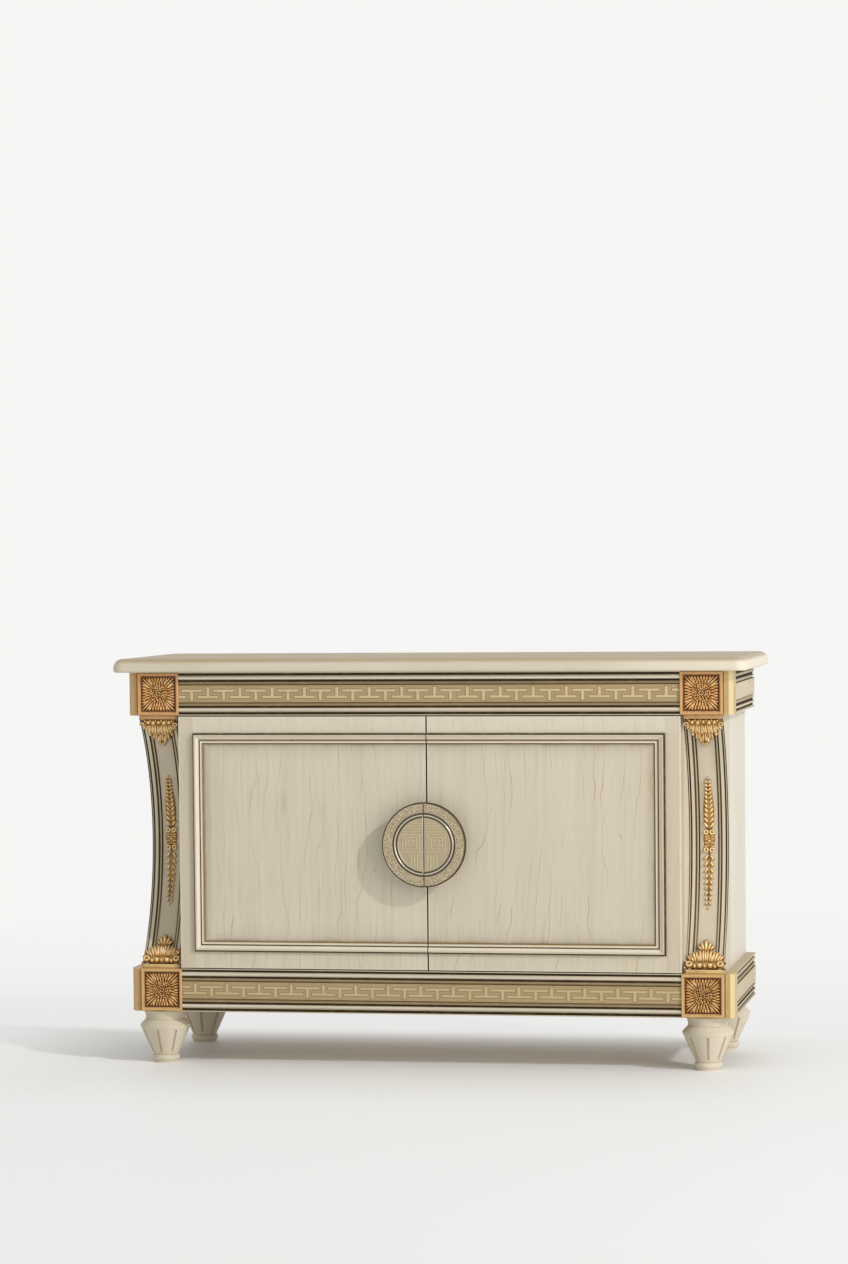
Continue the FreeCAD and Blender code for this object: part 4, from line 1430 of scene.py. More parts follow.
    def finish(
        self,
        material: Material,
        body: str,
        slot: str,
        stands_for: Iterable[str] = (),
        crease: float | None = 40.0,
    ) -> None:
        """Turn the mesh into a piece of the part.

        Args:
            material: Its finish.
            body: Body that it rides on.
            slot: Material slot of the record; not used.
            stands_for: Nodes that it replaces.
            crease: Angle in degrees above which an edge stays sharp, or None where the edges are set already.
        """
        bmesh.ops.remove_doubles(self.mesh, verts=self.mesh.verts, dist=MERGE)
        bmesh.ops.recalc_face_normals(self.mesh, faces=self.mesh.faces)
        if crease is not None:
            self.crease(crease)
        for face in self.mesh.faces:
            face.smooth = any(edge.smooth for edge in face.edges)
        data = bpy.data.meshes.new(self.name)
        self.mesh.to_mesh(data)
        self.mesh.free()
        data.materials.append(material)
        made = bpy.data.objects.new(self.name, data)
        bpy.context.scene.collection.objects.link(made)
        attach(made, body)
        if stands_for:
            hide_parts(*stands_for)
        LOG.info("%s: %d faces", self.name, len(data.polygons))


# Sunburst of a plaque, from its middle: sheaves in the corners are (across, start, stop), rows of leaves
# along the sides (start, number, length, width) and rings of beads (radius, number, size).
SHEAVES = ((0.0, 15.0, 54.6), (6.6, 17.0, 48.4))
LEAF_ROWS = ((24.6, 7, 14.0, 5.9), (17.0, 6, 14.0, 5.6))
BEAD_RINGS = ((19.2, 22, 2.9), (14.4, 17, 2.8), (9.8, 12, 2.6))


@dataclass(frozen=True)
class Plaque:
    """Square plaque with a moulded frame round a carved sunburst."""

    side: Side
    level: Level
    thickness: float = 7.0 * MM
    sunk: float = 5.8 * MM
    frame: float = 7.8 * MM
    ease: float = 0.8 * MM
    quirk: float = 1.0 * MM
    spread: float = 1.045
    sheaf_width: float = 5.2
    sheaf_height: float = 5.7
    leaf_pitch: float = 6.5
    leaf_height: float = 4.4
    bead_height: float = 4.3
    eye_radius: float = 4.8 * MM
    eye_thickness: float = 1.4 * MM
    eye_height: float = 3.8 * MM

    @property
    def node(self) -> str:
        """Name of the plaque's node."""
        return f"{self.level.word}_{self.side.word}_plaque"

    def _plate(self, piece: Piece, half: float) -> None:
        """Make the plate with its frame and sunk field.

        Args:
            piece: Mesh to add to.
            half: Half the width of the plaque.
        """
        base = self.thickness - self.ease
        piece.slab((0.0, 0.0, base / 2.0), (2.0 * half, 2.0 * half, base))
        front = max(piece.mesh.faces, key=lambda face: face.calc_center_median().z)
        for width, rise in (
            (1.2 * MM, self.ease),
            (self.frame - 3.2 * MM, 0.0),
            (0.9 * MM, -self.quirk),
            (0.7 * MM, 0.0),
            (0.4 * MM, self.quirk - self.sunk),
        ):
            bmesh.ops.inset_region(piece.mesh, faces=[front], thickness=width, depth=rise)

    def _sunburst(self, piece: Piece, ground: float) -> None:
        """Carve sheaves into the corners and two rows of leaves along the sides.

        Args:
            piece: Mesh to add to.
            ground: Height of the field.
        """
        for quarter in range(4):
            turn = Matrix.Rotation(quarter * QUARTER_TURN, 2)
            corner = turn @ Matrix.Rotation(QUARTER_TURN / 2.0, 2)
            for across, start, stop in SHEAVES:
                for sign in mirrored(across):
                    root, tip = (sign * across * 0.6, start), (sign * across, stop)
                    self._strand(piece, corner, root, tip, self.sheaf_width, self.sheaf_height, ground)
            for above, count, length, width in LEAF_ROWS:
                for index in range(count):
                    wander = math.sin(5.1 * index + 2.3 * above + 1.7 * quarter)
                    across = (index - (count - 1) / 2.0) * self.leaf_pitch
                    root = (across * 0.84, above + 0.8 * wander)
                    tip = (across * 1.08 + 0.6 * wander, above + length)
                    height = self.leaf_height + 0.7 * wander
                    self._strand(piece, turn, root, tip, width + 0.5 * wander, height, ground)

    def _rosette(self, piece: Piece, ground: float) -> None:
        """Carve rings of beads round a ringed eye.

        Args:
            piece: Mesh to add to.
            ground: Height of the field.
        """
        for radius, count, size in BEAD_RINGS:
            for index in range(count):
                wander = math.sin(7.9 * index + radius)
                angle = (index + 0.5 + 0.2 * wander) / count * FULL_TURN
                reach = (radius + 0.5 * math.sin(4.3 * index)) * MM
                spot = (reach * math.sin(angle), reach * math.cos(angle))
                height = (self.bead_height + 0.7 * wander) * MM
                piece.ball(spot, (size + 0.25 * wander) * MM, height, ground)
        piece.curl((0.0, 0.0), self.eye_radius, self.eye_thickness, ground + self.eye_height)

    def _strand(
        self, piece: Piece, turn: Matrix, root: Spot, tip: Spot, width: float, height: float, ground: float
    ) -> None:
        """Carve one strand of the sunburst, with places and sizes in millimetres before the turn."""
        start, stop = (turn @ Vector(spot) * self.spread * MM for spot in (root, tip))
        piece.lobe(start, stop, width * MM, height * MM, 0.25, ground)

    def build(self, gilding: Material) -> None:
        """Carve the plaque in its place.

        Args:
            gilding: Its finish.
        """
        low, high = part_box(self.node)
        centre = (low + high) / 2.0
        piece = Piece(f"{self.node}_carved")
        self._plate(piece, (high.x - low.x) / 2.0)
        piece.crease(30.0)
        self._sunburst(piece, self.thickness - self.sunk)
        self._rosette(piece, self.thickness - self.sunk)
        piece.lay(lambda point: Vector((centre.x + point.x, high.y - point.z, centre.z + point.y)))
        piece.finish(gilding, CABINET, "gilding", [self.node], crease=None)


@dataclass(frozen=True)
class BlockBead:
    """Upright bead on a corner block, beside the plaque."""

    side: Side
    level: Level
    distance: float = 696.8 * MM
    radius: float = 1.7 * MM
    margin: float = 3.0 * MM

    def build(self, gilding: Material) -> None:
        """Run the bead up the block.

        Args:
            gilding: Its finish.
        """
        low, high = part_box(f"{self.level.word}_{self.side.word}_corner_block")
        piece = Piece(f"{self.level.word}_{self.side.word}_block_bead")
        place = Matrix.Translation((self.side.value * self.distance, low.y, (low.z + high.z) / 2.0))
        edges = piece.edges_of(piece.rod(place, self.radius, high.z - low.z - 2.0 * self.margin, 16))
        rims = [edge for edge in edges if abs(edge.verts[0].co.z - edge.verts[1].co.z) < MERGE]
        piece.ease_edges(rims, self.radius * 0.5, 2)
        piece.finish(gilding, CABINET, "gilding")


@dataclass(frozen=True)
class LeafBand:
    """Flat gilded band across the end of a pilaster, between its block and its leaf cluster."""

    side: Side
    level: Level
    column: Column
    width: float = 86.0 * MM
    height: float = 8.6 * MM
    thickness: float = 3.6 * MM
    gap: float = 0.4 * MM
    ease: float = 0.7 * MM

    def build(self, gilding: Material) -> None:
        """Lay the band on the pilaster.

        Args:
            gilding: Its finish.
        """
        column = self.column
        piece = Piece(f"{self.level.word}_{self.side.word}_leaf_band")
        above = self.level.value * (column.half_height - self.gap - self.height / 2.0)
        centre = (
            self.side.value * column.centre,
            column.front - self.thickness / 2.0,
            column.middle + above,
        )
        piece.slab(centre, (self.width, self.thickness, self.height))
        piece.ease_edges(piece.mesh.edges[:], self.ease, 2)
        piece.finish(gilding, CABINET, "gilding")


# Leaf clusters, from the middle line and from the end of the hollow face: lobes are (root, tip, width,
# height), berries (across, down, radius, height) and scrolls (across, down, radius, thickness, height).
# What is off the middle line comes on both sides.
CLUSTERS = {
    Level.UPPER: (
        (
            ((6.4, 10.0), (8.6, 38.0), 14.0, 9.4),
            ((18.5, 10.0), (24.0, 36.0), 15.0, 9.0),
            ((30.0, 12.0), (38.5, 26.5), 12.4, 7.6),
            ((14.0, 28.0), (16.0, 50.5), 11.6, 8.0),
            ((0.0, 30.0), (0.0, 56.0), 12.4, 9.4),
            ((24.0, 27.0), (27.8, 42.0), 9.4, 6.6),
            ((0.0, 13.0), (0.0, 34.0), 7.4, 10.4),
            ((12.8, 12.0), (15.6, 31.0), 6.8, 9.8),
            ((25.6, 12.0), (31.0, 26.0), 6.8, 8.6),
            ((7.2, 38.0), (8.6, 58.0), 9.0, 7.8),
            ((0.0, 54.0), (0.0, 67.5), 7.0, 6.8),
            ((3.4, 53.0), (6.4, 63.0), 6.0, 6.6),
        ),
        (
            (13.0, 6.6, 6.4, 10.6),
            (0.0, 5.4, 4.8, 9.0),
            (25.4, 6.0, 5.4, 9.4),
            (6.6, 2.4, 2.6, 7.0),
            (19.4, 2.4, 2.6, 7.0),
            (32.6, 3.2, 3.0, 7.0),
            (8.9, 34.5, 3.4, 10.4),
            (26.0, 32.5, 3.4, 10.0),
        ),
        ((40.2, 9.4, 4.6, 2.2, 8.4),),
    ),
    Level.LOWER: (
        (
            ((7.0, 15.0), (9.4, 44.0), 14.0, 9.2),
            ((18.5, 15.0), (26.0, 40.5), 13.6, 8.6),
            ((29.0, 18.0), (40.0, 32.5), 11.6, 7.4),
            ((0.0, 16.0), (0.0, 41.0), 8.4, 10.2),
            ((13.2, 15.0), (17.4, 33.0), 8.0, 10.0),
            ((26.0, 15.0), (32.6, 27.5), 7.6, 8.8),
            ((0.0, 38.0), (0.0, 67.5), 10.0, 8.2),
            ((4.0, 41.0), (11.8, 61.0), 8.6, 7.2),
            ((8.0, 42.0), (19.6, 53.0), 7.6, 6.0),
        ),
        (
            (12.4, 8.4, 7.4, 10.4),
            (0.0, 7.0, 4.4, 9.2),
            (23.6, 6.6, 5.0, 8.8),
            (46.0, 17.6, 3.4, 6.2),
            (46.4, 3.4, 3.0, 6.0),
        ),
        ((36.2, 9.8, 5.8, 3.0, 10.0),),
    ),
}
# Low ground that joins the lobes of a cluster: (root, tip, width).
CLUSTER_GROUND = (
    ((0.0, 1.0), (0.0, 52.0), 34.0),
    ((-24.0, 2.0), (-18.0, 38.0), 30.0),
    ((24.0, 2.0), (18.0, 38.0), 30.0),
    ((-36.0, 2.0), (-34.0, 27.0), 18.0),
    ((36.0, 2.0), (34.0, 27.0), 18.0),
)
# Wheat: the knot's scrolls are (across, along, radius, thickness, height), its leaves (across, along,
# length, width, height, turn, fullness) and the low ground behind all (start, stop, width, fullness).
KNOT_SCROLL = (7.0, 21.0, 4.4, 2.2, 6.4)
KNOT_LEAVES = ((1.5, 11.5, 11.5, 4.4, 5.2, 1.75, 0.3), (1.0, 4.6, 11.5, 4.0, 5.6, 1.57, 0.2))
WHEAT_GROUND = ((20.0, 136.0, 25.0, -0.2), (-27.0, 27.0, 27.0, 0.2), (-142.0, -22.0, 9.0, 0.2))


@dataclass(frozen=True)
class Ear:
    """One ear of wheat, in millimetres and degrees.

    A pair holds the values at its root and at its tip. Three numbers are a length, a width and a height.
    """

    end: float
    start: float
    rows: int
    pitch: Spot
    width: Spot
    length: Spot = (18.5, 10.5)
    lean: Spot = (36.0, 26.0)
    apart: float = 1.4
    height: float = 7.8
    awn: Spot = (8.0, 2.6, 6.8)
    tip: Spot = (9.0, 3.6, 5.0)

    def carve(self, piece: Piece) -> None:
        """Carve the rows of grains, with awns between them on the ear above, and the tip.

        Args:
            piece: Mesh to add to.
        """
        rising = self.end > 0.0
        along = self.start
        for row in range(self.rows):
            share = row / (self.rows - 1)
            size = (fade(self.length, share) * MM, fade(self.width, share) * MM, self.height * MM)
            for sign in BOTH:
                lean = sign * math.radians(fade(self.lean, share))
                root = (sign * self.apart * MM, self.end * along * MM)
                piece.grain(root, *size, lean if rising else math.pi - lean, 0.1)
            if rising:
                piece.grain((0.0, along * MM), *(length * MM for length in self.awn), 0.0, 0.0)
            along += fade(self.pitch, share)
        turn = 0.0 if rising else math.pi
        piece.grain((0.0, self.end * along * MM), *(length * MM for length in self.tip), turn, -0.3)


EARS = (
    Ear(end=1.0, start=30.0, rows=11, pitch=(12.312, 9.12), width=(7.6, 5.4)),
    Ear(end=-1.0, start=31.0, rows=9, pitch=(15.768, 11.68), width=(6.992, 4.968)),
)


@dataclass(frozen=True)
class PilasterDressing:
    """What is fixed to a pilaster: cove strips, leaf clusters and wheat ears."""

    side: Side
    column: Column
    cove_start: float = 15.0 * MM
    cove_width: float = 7.7 * MM
    cove_rise: float = 3.3 * MM
    cove_fillet: float = 1.1 * MM
    cove_hollow: float = 0.7
    cove_turn: float = math.radians(40.4)
    leaf_stretch: float = 1.22
    leaf_sink: float = 4.4 * MM
    leaf_ground: float = 1.6 * MM
    leaf_hollow: float = 2.0 * MM
    leaf_reach: float = 10.0 * MM
    grooved_width: float = 11.0
    wheat_ground: float = 1.8 * MM

    def build(self, cove: Material, leaves: Material, wheat: Material) -> None:
        """Make every piece of the pilaster.

        Args:
            cove: Finish of the cove strips.
            leaves: Finish of the leaf clusters.
            wheat: Finish of the wheat ears.
        """
        for word, sign in zip(("inner", "outer"), BOTH):
            self._cove(word, sign, cove)
        for level in Level:
            self._acanthus(level, leaves)
        self._wheat(wheat)

    def _cove_profile(self) -> list[Spot]:
        """Section of a cove strip.

        Returns:
            Pairs of a distance into the field and a height over it.
        """
        hollow = self.cove_width * self.cove_hollow
        drop = self.cove_rise - self.cove_fillet
        angles = [step / 5.0 * QUARTER_TURN for step in range(1, 6)]
        return [
            (0.0, 0.0),
            (0.0, self.cove_rise),
            *((hollow * (1.0 - math.cos(a)), self.cove_rise - drop * math.sin(a)) for a in angles),
            (self.cove_width, self.cove_fillet),
            (self.cove_width, 0.0),
        ]

    def _cove(self, word: str, sign: float, finish: Material) -> None:
        """Run a cove strip down one edge of the sunk field.

        Args:
            word: Word for the edge in the piece's name.
            sign: -1 for the inner edge, 1 for the outer one.
            finish: Its finish.
        """
        column = self.column
        piece = Piece(f"{self.side.word}_pilaster_{word}_cove")
        centre = Vector((0.0, column.axis_y, column.middle))
        start = Matrix.Translation(centre) @ Matrix.Rotation(-self.cove_turn, 4, "X")
        points = []
        for inward, rise in self._cove_profile():
            across = column.centre + sign * (column.width / 2.0 - self.cove_start - inward)
            points.append(start @ Vector((self.side.value * across, column.field_radius - rise, 0.0)))
        piece.turned(points, centre, 56, closed=True, axis=ACROSS, angle=2.0 * self.cove_turn)
        piece.close()
        piece.finish(finish, CABINET, "cream_paint")

    def _acanthus(self, level: Level, finish: Material) -> None:
        """Carve the leaf cluster at one end: a row of curled tips, a fan of lobes and a small palmette.

        Args:
            level: End of the pilaster.
            finish: Its finish.
        """
        node = f"{level.word}_{self.side.word}_acanthus"
        piece = Piece(f"{node}_carved")

        def spot(across: float, down: float) -> Spot:
            """Place on the hollow face of one point of the cluster."""
            along = self.column.arc_half - down * MM * self.leaf_stretch
            return across * MM, level.value * along

        lobes, berries, scrolls = CLUSTERS[level]
        for root, tip, width, height in lobes:
            carve = piece.leaf if width > self.grooved_width else piece.lobe
            for sign in mirrored(tip[0]):
                carve(spot(sign * root[0], root[1]), spot(sign * tip[0], tip[1]), width * MM, height * MM)
        for across, down, radius, height in berries:
            for sign in mirrored(across):
                piece.ball(spot(sign * across, down), radius * MM, height * MM)
        for across, down, radius, thickness, height in scrolls:
            for sign in BOTH:
                piece.curl(spot(sign * across, down), radius * MM, thickness * MM, height * MM)
        for root, tip, width in CLUSTER_GROUND:
            piece.lobe(spot(*root), spot(*tip), width * MM, self.leaf_ground, 0.0)
        for vert in piece.mesh.verts:
            if vert.co.z < 0.0:
                vert.co.z = -self.leaf_sink
        piece.lay(self.column.seat(self.side, self.column.radius))
        piece.finish(finish, CABINET, "gilding", [node], crease=None)

    def _wheat(self, finish: Material) -> None:
        """Carve two ears of wheat, a dense one above and a looser one below, that spring from a knot.

        Args:
            finish: Its finish.
        """
        node = f"{self.side.word}_wheat_ornament"
        piece = Piece(f"{node}_carved")
        for ear in EARS:
            ear.carve(piece)
            for sign in BOTH:
                across, along, *scroll = (length * MM for length in KNOT_SCROLL)
                piece.curl((sign * across, ear.end * along), *scroll)
                for *lengths, turn, fullness in KNOT_LEAVES:
                    across, along, *size = (length * MM for length in lengths)
                    piece.grain((sign * across, ear.end * along), *size, sign * turn, fullness)
        piece.ball((0.0, 0.0), 4.0 * MM, 7.4 * MM)
        for start, stop, width, fullness in WHEAT_GROUND:
            length = (stop - start) * MM
            piece.grain((0.0, start * MM), length, width * MM, self.wheat_ground, 0.0, fullness)
        piece.lay(self.column.seat(self.side, self.column.field_radius))
        piece.finish(finish, CABINET, "gilding", [node], crease=None)


@dataclass(frozen=True)
class Meander:
    """Inlaid band with a raised meander of upright and hanging keys."""

    node: str
    bar_half: float
    flip: float
    pitch: float = 77.5 * MM
    first_key: float = 0.41
    bar_height: float = 5.6 * MM
    stem_half: float = 3.6 * MM
    bar_offset: float = 12.6 * MM
    margin: float = 4.2 * MM
    rise: float = 0.9 * MM
    ease: float = 0.4 * MM
    outline: float = 1.7 * MM
    outline_rise: float = 0.3 * MM
    outline_ease: float = 0.1 * MM
    count: int = 15

    def _key(self, piece: Piece, across: float, half: float, sign: float, limit: float) -> None:
        """Raise one key on its outline; its stem runs to the edge of the band on the far side from its bar.

        Args:
            piece: Mesh to add to.
            across: Place of its stem.
            half: Half the height of the band.
            sign: 1 for a key that hangs, -1 for one that stands.
            limit: Half the length of the band.
        """
        bar = half - self.bar_offset
        for grow, rise, ease in (
            (self.outline, self.outline_rise, self.outline_ease),
            (0.0, self.rise, self.ease),
        ):
            stem, reach = self.stem_half + grow, self.bar_half + grow
            low, high = bar - self.bar_height / 2.0 - grow, bar + self.bar_height / 2.0 + grow
            foot = self.margin - half - grow
            corners = [
                (-stem, foot), (stem, foot), (stem, low), (reach, low),
                (reach, high), (-reach, high), (-reach, low), (-stem, low),
            ]
            if abs(across) > limit:
                near, far = (math.copysign(limit, across) - across, -math.copysign(reach, across))
                corners = [(near, low), (near, high), (far, high), (far, low)]
            piece.extruded([(across + x, sign * z) for x, z in corners], rise, ease)

    def build(self, inlay: Inlay) -> None:
        """Make the band in its place.

        Args:
            inlay: Its finish.
        """
        low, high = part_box(self.node)
        half = (high.z - low.z) / 2.0
        middle = (low.z + high.z) / 2.0
        limit = high.x
        thickness = high.y - low.y
        piece = Piece(f"{self.node}_meander")
        for index in range(self.count + 1):
            stem = (self.first_key + index) * self.pitch - limit
            self._key(piece, stem, half, self.flip, limit)
            self._key(piece, -stem, half, -self.flip, limit)
        piece.slab((0.0, 0.0, -thickness / 2.0), (2.0 * limit, 2.0 * half, thickness))
        piece.lay(lambda point: Vector((point.x, low.y - point.z, middle + point.y)))
        finish = inlay.material(f"tan_{self.node}", low.y, self.rise)
        piece.finish(finish, CABINET, "frieze_inlay", [self.node], crease=25.0)


# Pull: section of the disc as (radius, depth behind the front), section of a post as (radius, distance from
# the door), radii of the rings of domes, corners of the nested squares as (across, above) from their
# middle, heights of the level lines and places across of the upright ones.
DISC_PROFILE = (
    (0.0, 1.1), (59.6, 1.1), (60.3, 0.5), (61.9, 0.5), (62.5, 1.2), (63.0, 2.4), (74.2, 2.4), (74.8, 0.7),
    (75.4, 0.2), (76.4, 0.2), (77.0, 0.9), (94.6, 0.9), (95.2, 0.3), (96.0, 0.05), (97.2, 0.1), (98.3, 0.8),
    (99.0, 2.4), (99.0, 10.4), (97.6, 12.0), (0.0, 12.0),
)
POST_PROFILE = ((7.0, 9.0), (8.0, 4.0), (10.5, 1.5), (10.5, 0.0), (0.0, 0.0))
DOME_RINGS = (79.2, 82.6, 86.0, 89.4, 92.8)
KEY_SQUARES = (
    (20.0, -20.0), (-20.0, -20.0), (-20.0, 20.0), (20.0, 20.0), (20.0, -13.3), (-13.3, -13.3), (-13.3, 13.3),
    (13.3, 13.3), (13.3, -6.6), (-6.6, -6.6), (-6.6, 6.6), (6.6, 6.6), (6.6, 0.0),
)
KEY_LEVELS = (30.5, 37.1, 43.7, 50.3)
KEY_STEMS = (8.0, 15.4, 22.8, 30.2)


@dataclass(frozen=True)
class Pull:
    """Half of the round pull: a cast disc on two posts, and the bright ring set in it."""

    side: Side
    frame: DoorFrame
    face_depth: float = 1.1 * MM
    disc_back: float = 11.5 * MM
    disc_steps: int = 120
    ring_radius: float = 68.6 * MM
    ring_half: float = 2.3 * MM
    ring_seat: float = 0.2 * MM
    ring_inset: float = 0.3 * MM
    ring_points: int = 12
    bar_half: float = 1.3 * MM
    bar_stretch: float = 1.25
    post_radius: float = 7.0 * MM
    post_across: float = 45.0 * MM
    post_above: float = 62.0 * MM
    dome_pitch: float = 4.2 * MM
    dome_radius: float = 1.75 * MM
    dome_rise: float = 0.9 * MM
    dome_depth: float = 0.95 * MM
    key_middle: Spot = (30.0 * MM, 4.0 * MM)
    key_width: float = 3.2 * MM
    key_rise: float = 0.7 * MM
    key_limit: float = 57.2 * MM
    level_from: float = 5.0 * MM
    stem_from: float = -22.5 * MM

    @property
    def centre(self) -> Vector:
        """A point of the pull's axis."""
        return Vector((0.0, 0.0, self.frame.middle))

    def _disc(self, piece: Piece, front: float) -> None:
        """Turn the disc and cut it at the meeting edge.

        Args:
            piece: Mesh to add to.
            front: Place of the front along Y.
        """
        points = [Vector((r * MM, front + depth * MM, self.frame.middle)) for r, depth in DISC_PROFILE]
        piece.turned(points, self.centre, self.disc_steps)
        piece.keep_side(self.side, self.frame.split)

    def _posts(self, piece: Piece, front: float, door: float) -> None:
        """Add the two posts, flared where they meet the door.

        Args:
            piece: Mesh to add to.
            front: Place of the front along Y.
            door: Place of the door's face along Y.
        """
        back = front + self.disc_back
        profile = [(0.0, back), (self.post_radius, back)]
        profile += [(radius * MM, door - off * MM) for radius, off in POST_PROFILE]
        for sign in BOTH:
            above = self.frame.middle + sign * self.post_above
            centre = Vector((self.side.value * self.post_across, 0.0, above))
            post = Piece("post")
            post.turned([centre + Vector((radius, depth, 0.0)) for radius, depth in profile], centre, 24)
            piece.take(post)

    def _domes(self, piece: Piece, front: float) -> None:
        """Stipple the outer band with small domes.

        Args:
            piece: Mesh to add to.
            front: Place of the front along Y.
        """
        for ring, radius in enumerate(DOME_RINGS):
            count = int(math.pi * radius * MM / self.dome_pitch)
            for index in range(count):
                angle = (index + 0.5 + 0.5 * (ring % 2)) / count * math.pi
                across = radius * MM * math.sin(angle)
                if across < self.frame.split + self.dome_radius:
                    continue
                size = self.dome_radius * (0.82 + 0.3 * math.sin(5.3 * index + 2.1 * ring) ** 2)
                above = self.frame.middle + radius * MM * math.cos(angle)
                place = Matrix.Translation((self.side.value * across, front + self.dome_depth, above))
                place = place @ Matrix.Diagonal((size, self.dome_rise, size, 1.0))
                bmesh.ops.create_icosphere(piece.mesh, subdivisions=1, radius=1.0, matrix=place)

    def _keys(self, piece: Piece, front: float) -> None:
        """Raise nested squares, level lines above them and upright lines below on the inner face.

        Args:
            piece: Mesh to add to.
            front: Place of the front along Y.
        """
        keys = Piece("keys")
        across, above = self.key_middle
        corners = [(across + x * MM, above + z * MM) for x, z in KEY_SQUARES]
        for index, (start, stop) in enumerate(zip(corners, corners[1:])):
            keys.bar(start, stop, self.key_width, self.key_rise * (1.0 - 0.08 * (index % 2)))
        for level, stem in zip(KEY_LEVELS, KEY_STEMS):
            for start, stop in (
                ((self.level_from, level * MM), (self._reach(level * MM), level * MM)),
                ((stem * MM, self.stem_from), (stem * MM, -self._reach(stem * MM))),
            ):
                keys.bar(start, stop, self.key_width, self.key_rise)
        face, middle = front + self.face_depth, self.frame.middle
        keys.lay(lambda point: Vector((self.side.value * point.x, face - point.z, middle + point.y)))
        piece.take(keys)

    def _reach(self, offset: float) -> float:
        """How far a line runs that passes the middle at an offset."""
        return math.sqrt(self.key_limit**2 - offset**2)

    def _ring(self, bright: Material) -> None:
        """Turn the ring that lies in the disc's channel.

        Args:
            bright: Its finish.
        """
        node = f"{self.side.word}_pull_ring"
        low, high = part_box(node)
        ring = Piece(f"{node}_polished")
        height = high.y - low.y
        points = []
        for step in range(self.ring_points):
            angle = step / self.ring_points * FULL_TURN
            radius = self.ring_radius + self.ring_half * math.cos(angle)
            depth = high.y - self.ring_seat - (height - self.ring_inset) * math.sin(angle)
            points.append(Vector((radius, depth, self.frame.middle)))
        ring.turned(points, self.centre, self.disc_steps, closed=True)
        ring.keep_side(self.side, self.frame.split)
        if self.side is Side.LEFT:
            self._bar(ring, low.y + height * 0.75)
        ring.finish(bright, self.side.door, "ring_metal", [node])

    def _bar(self, ring: Piece, depth: float) -> None:
        """Close the half ring with a straight bar along the meeting edge.

        Args:
            ring: Mesh to add to.
            depth: Place of the bar's middle along Y.
        """
        across = self.side.value * (self.frame.split + self.bar_half)
        place = Matrix.Translation((across, depth, self.frame.middle))
        made = ring.rod(place, self.bar_half, 2.0 * (self.ring_radius - self.ring_half), 12)
        bmesh.ops.scale(ring.mesh, vec=(1.0, self.bar_stretch, 1.0), space=place.inverted(), verts=made)

    def build(self, cast: Material, bright: Material) -> None:
        """Make the half disc and its ring.

        Args:
            cast: Finish of the disc.
            bright: Finish of the ring.
        """
        node = f"{self.side.word}_pull_disc"
        low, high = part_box(node)
        piece = Piece(f"{node}_cast")
        self._disc(piece, low.y)
        self._posts(piece, low.y, high.y)
        self._domes(piece, low.y)
        self._keys(piece, low.y)
        piece.finish(cast, self.side.door, "pull_metal", [node])
        self._ring(bright)


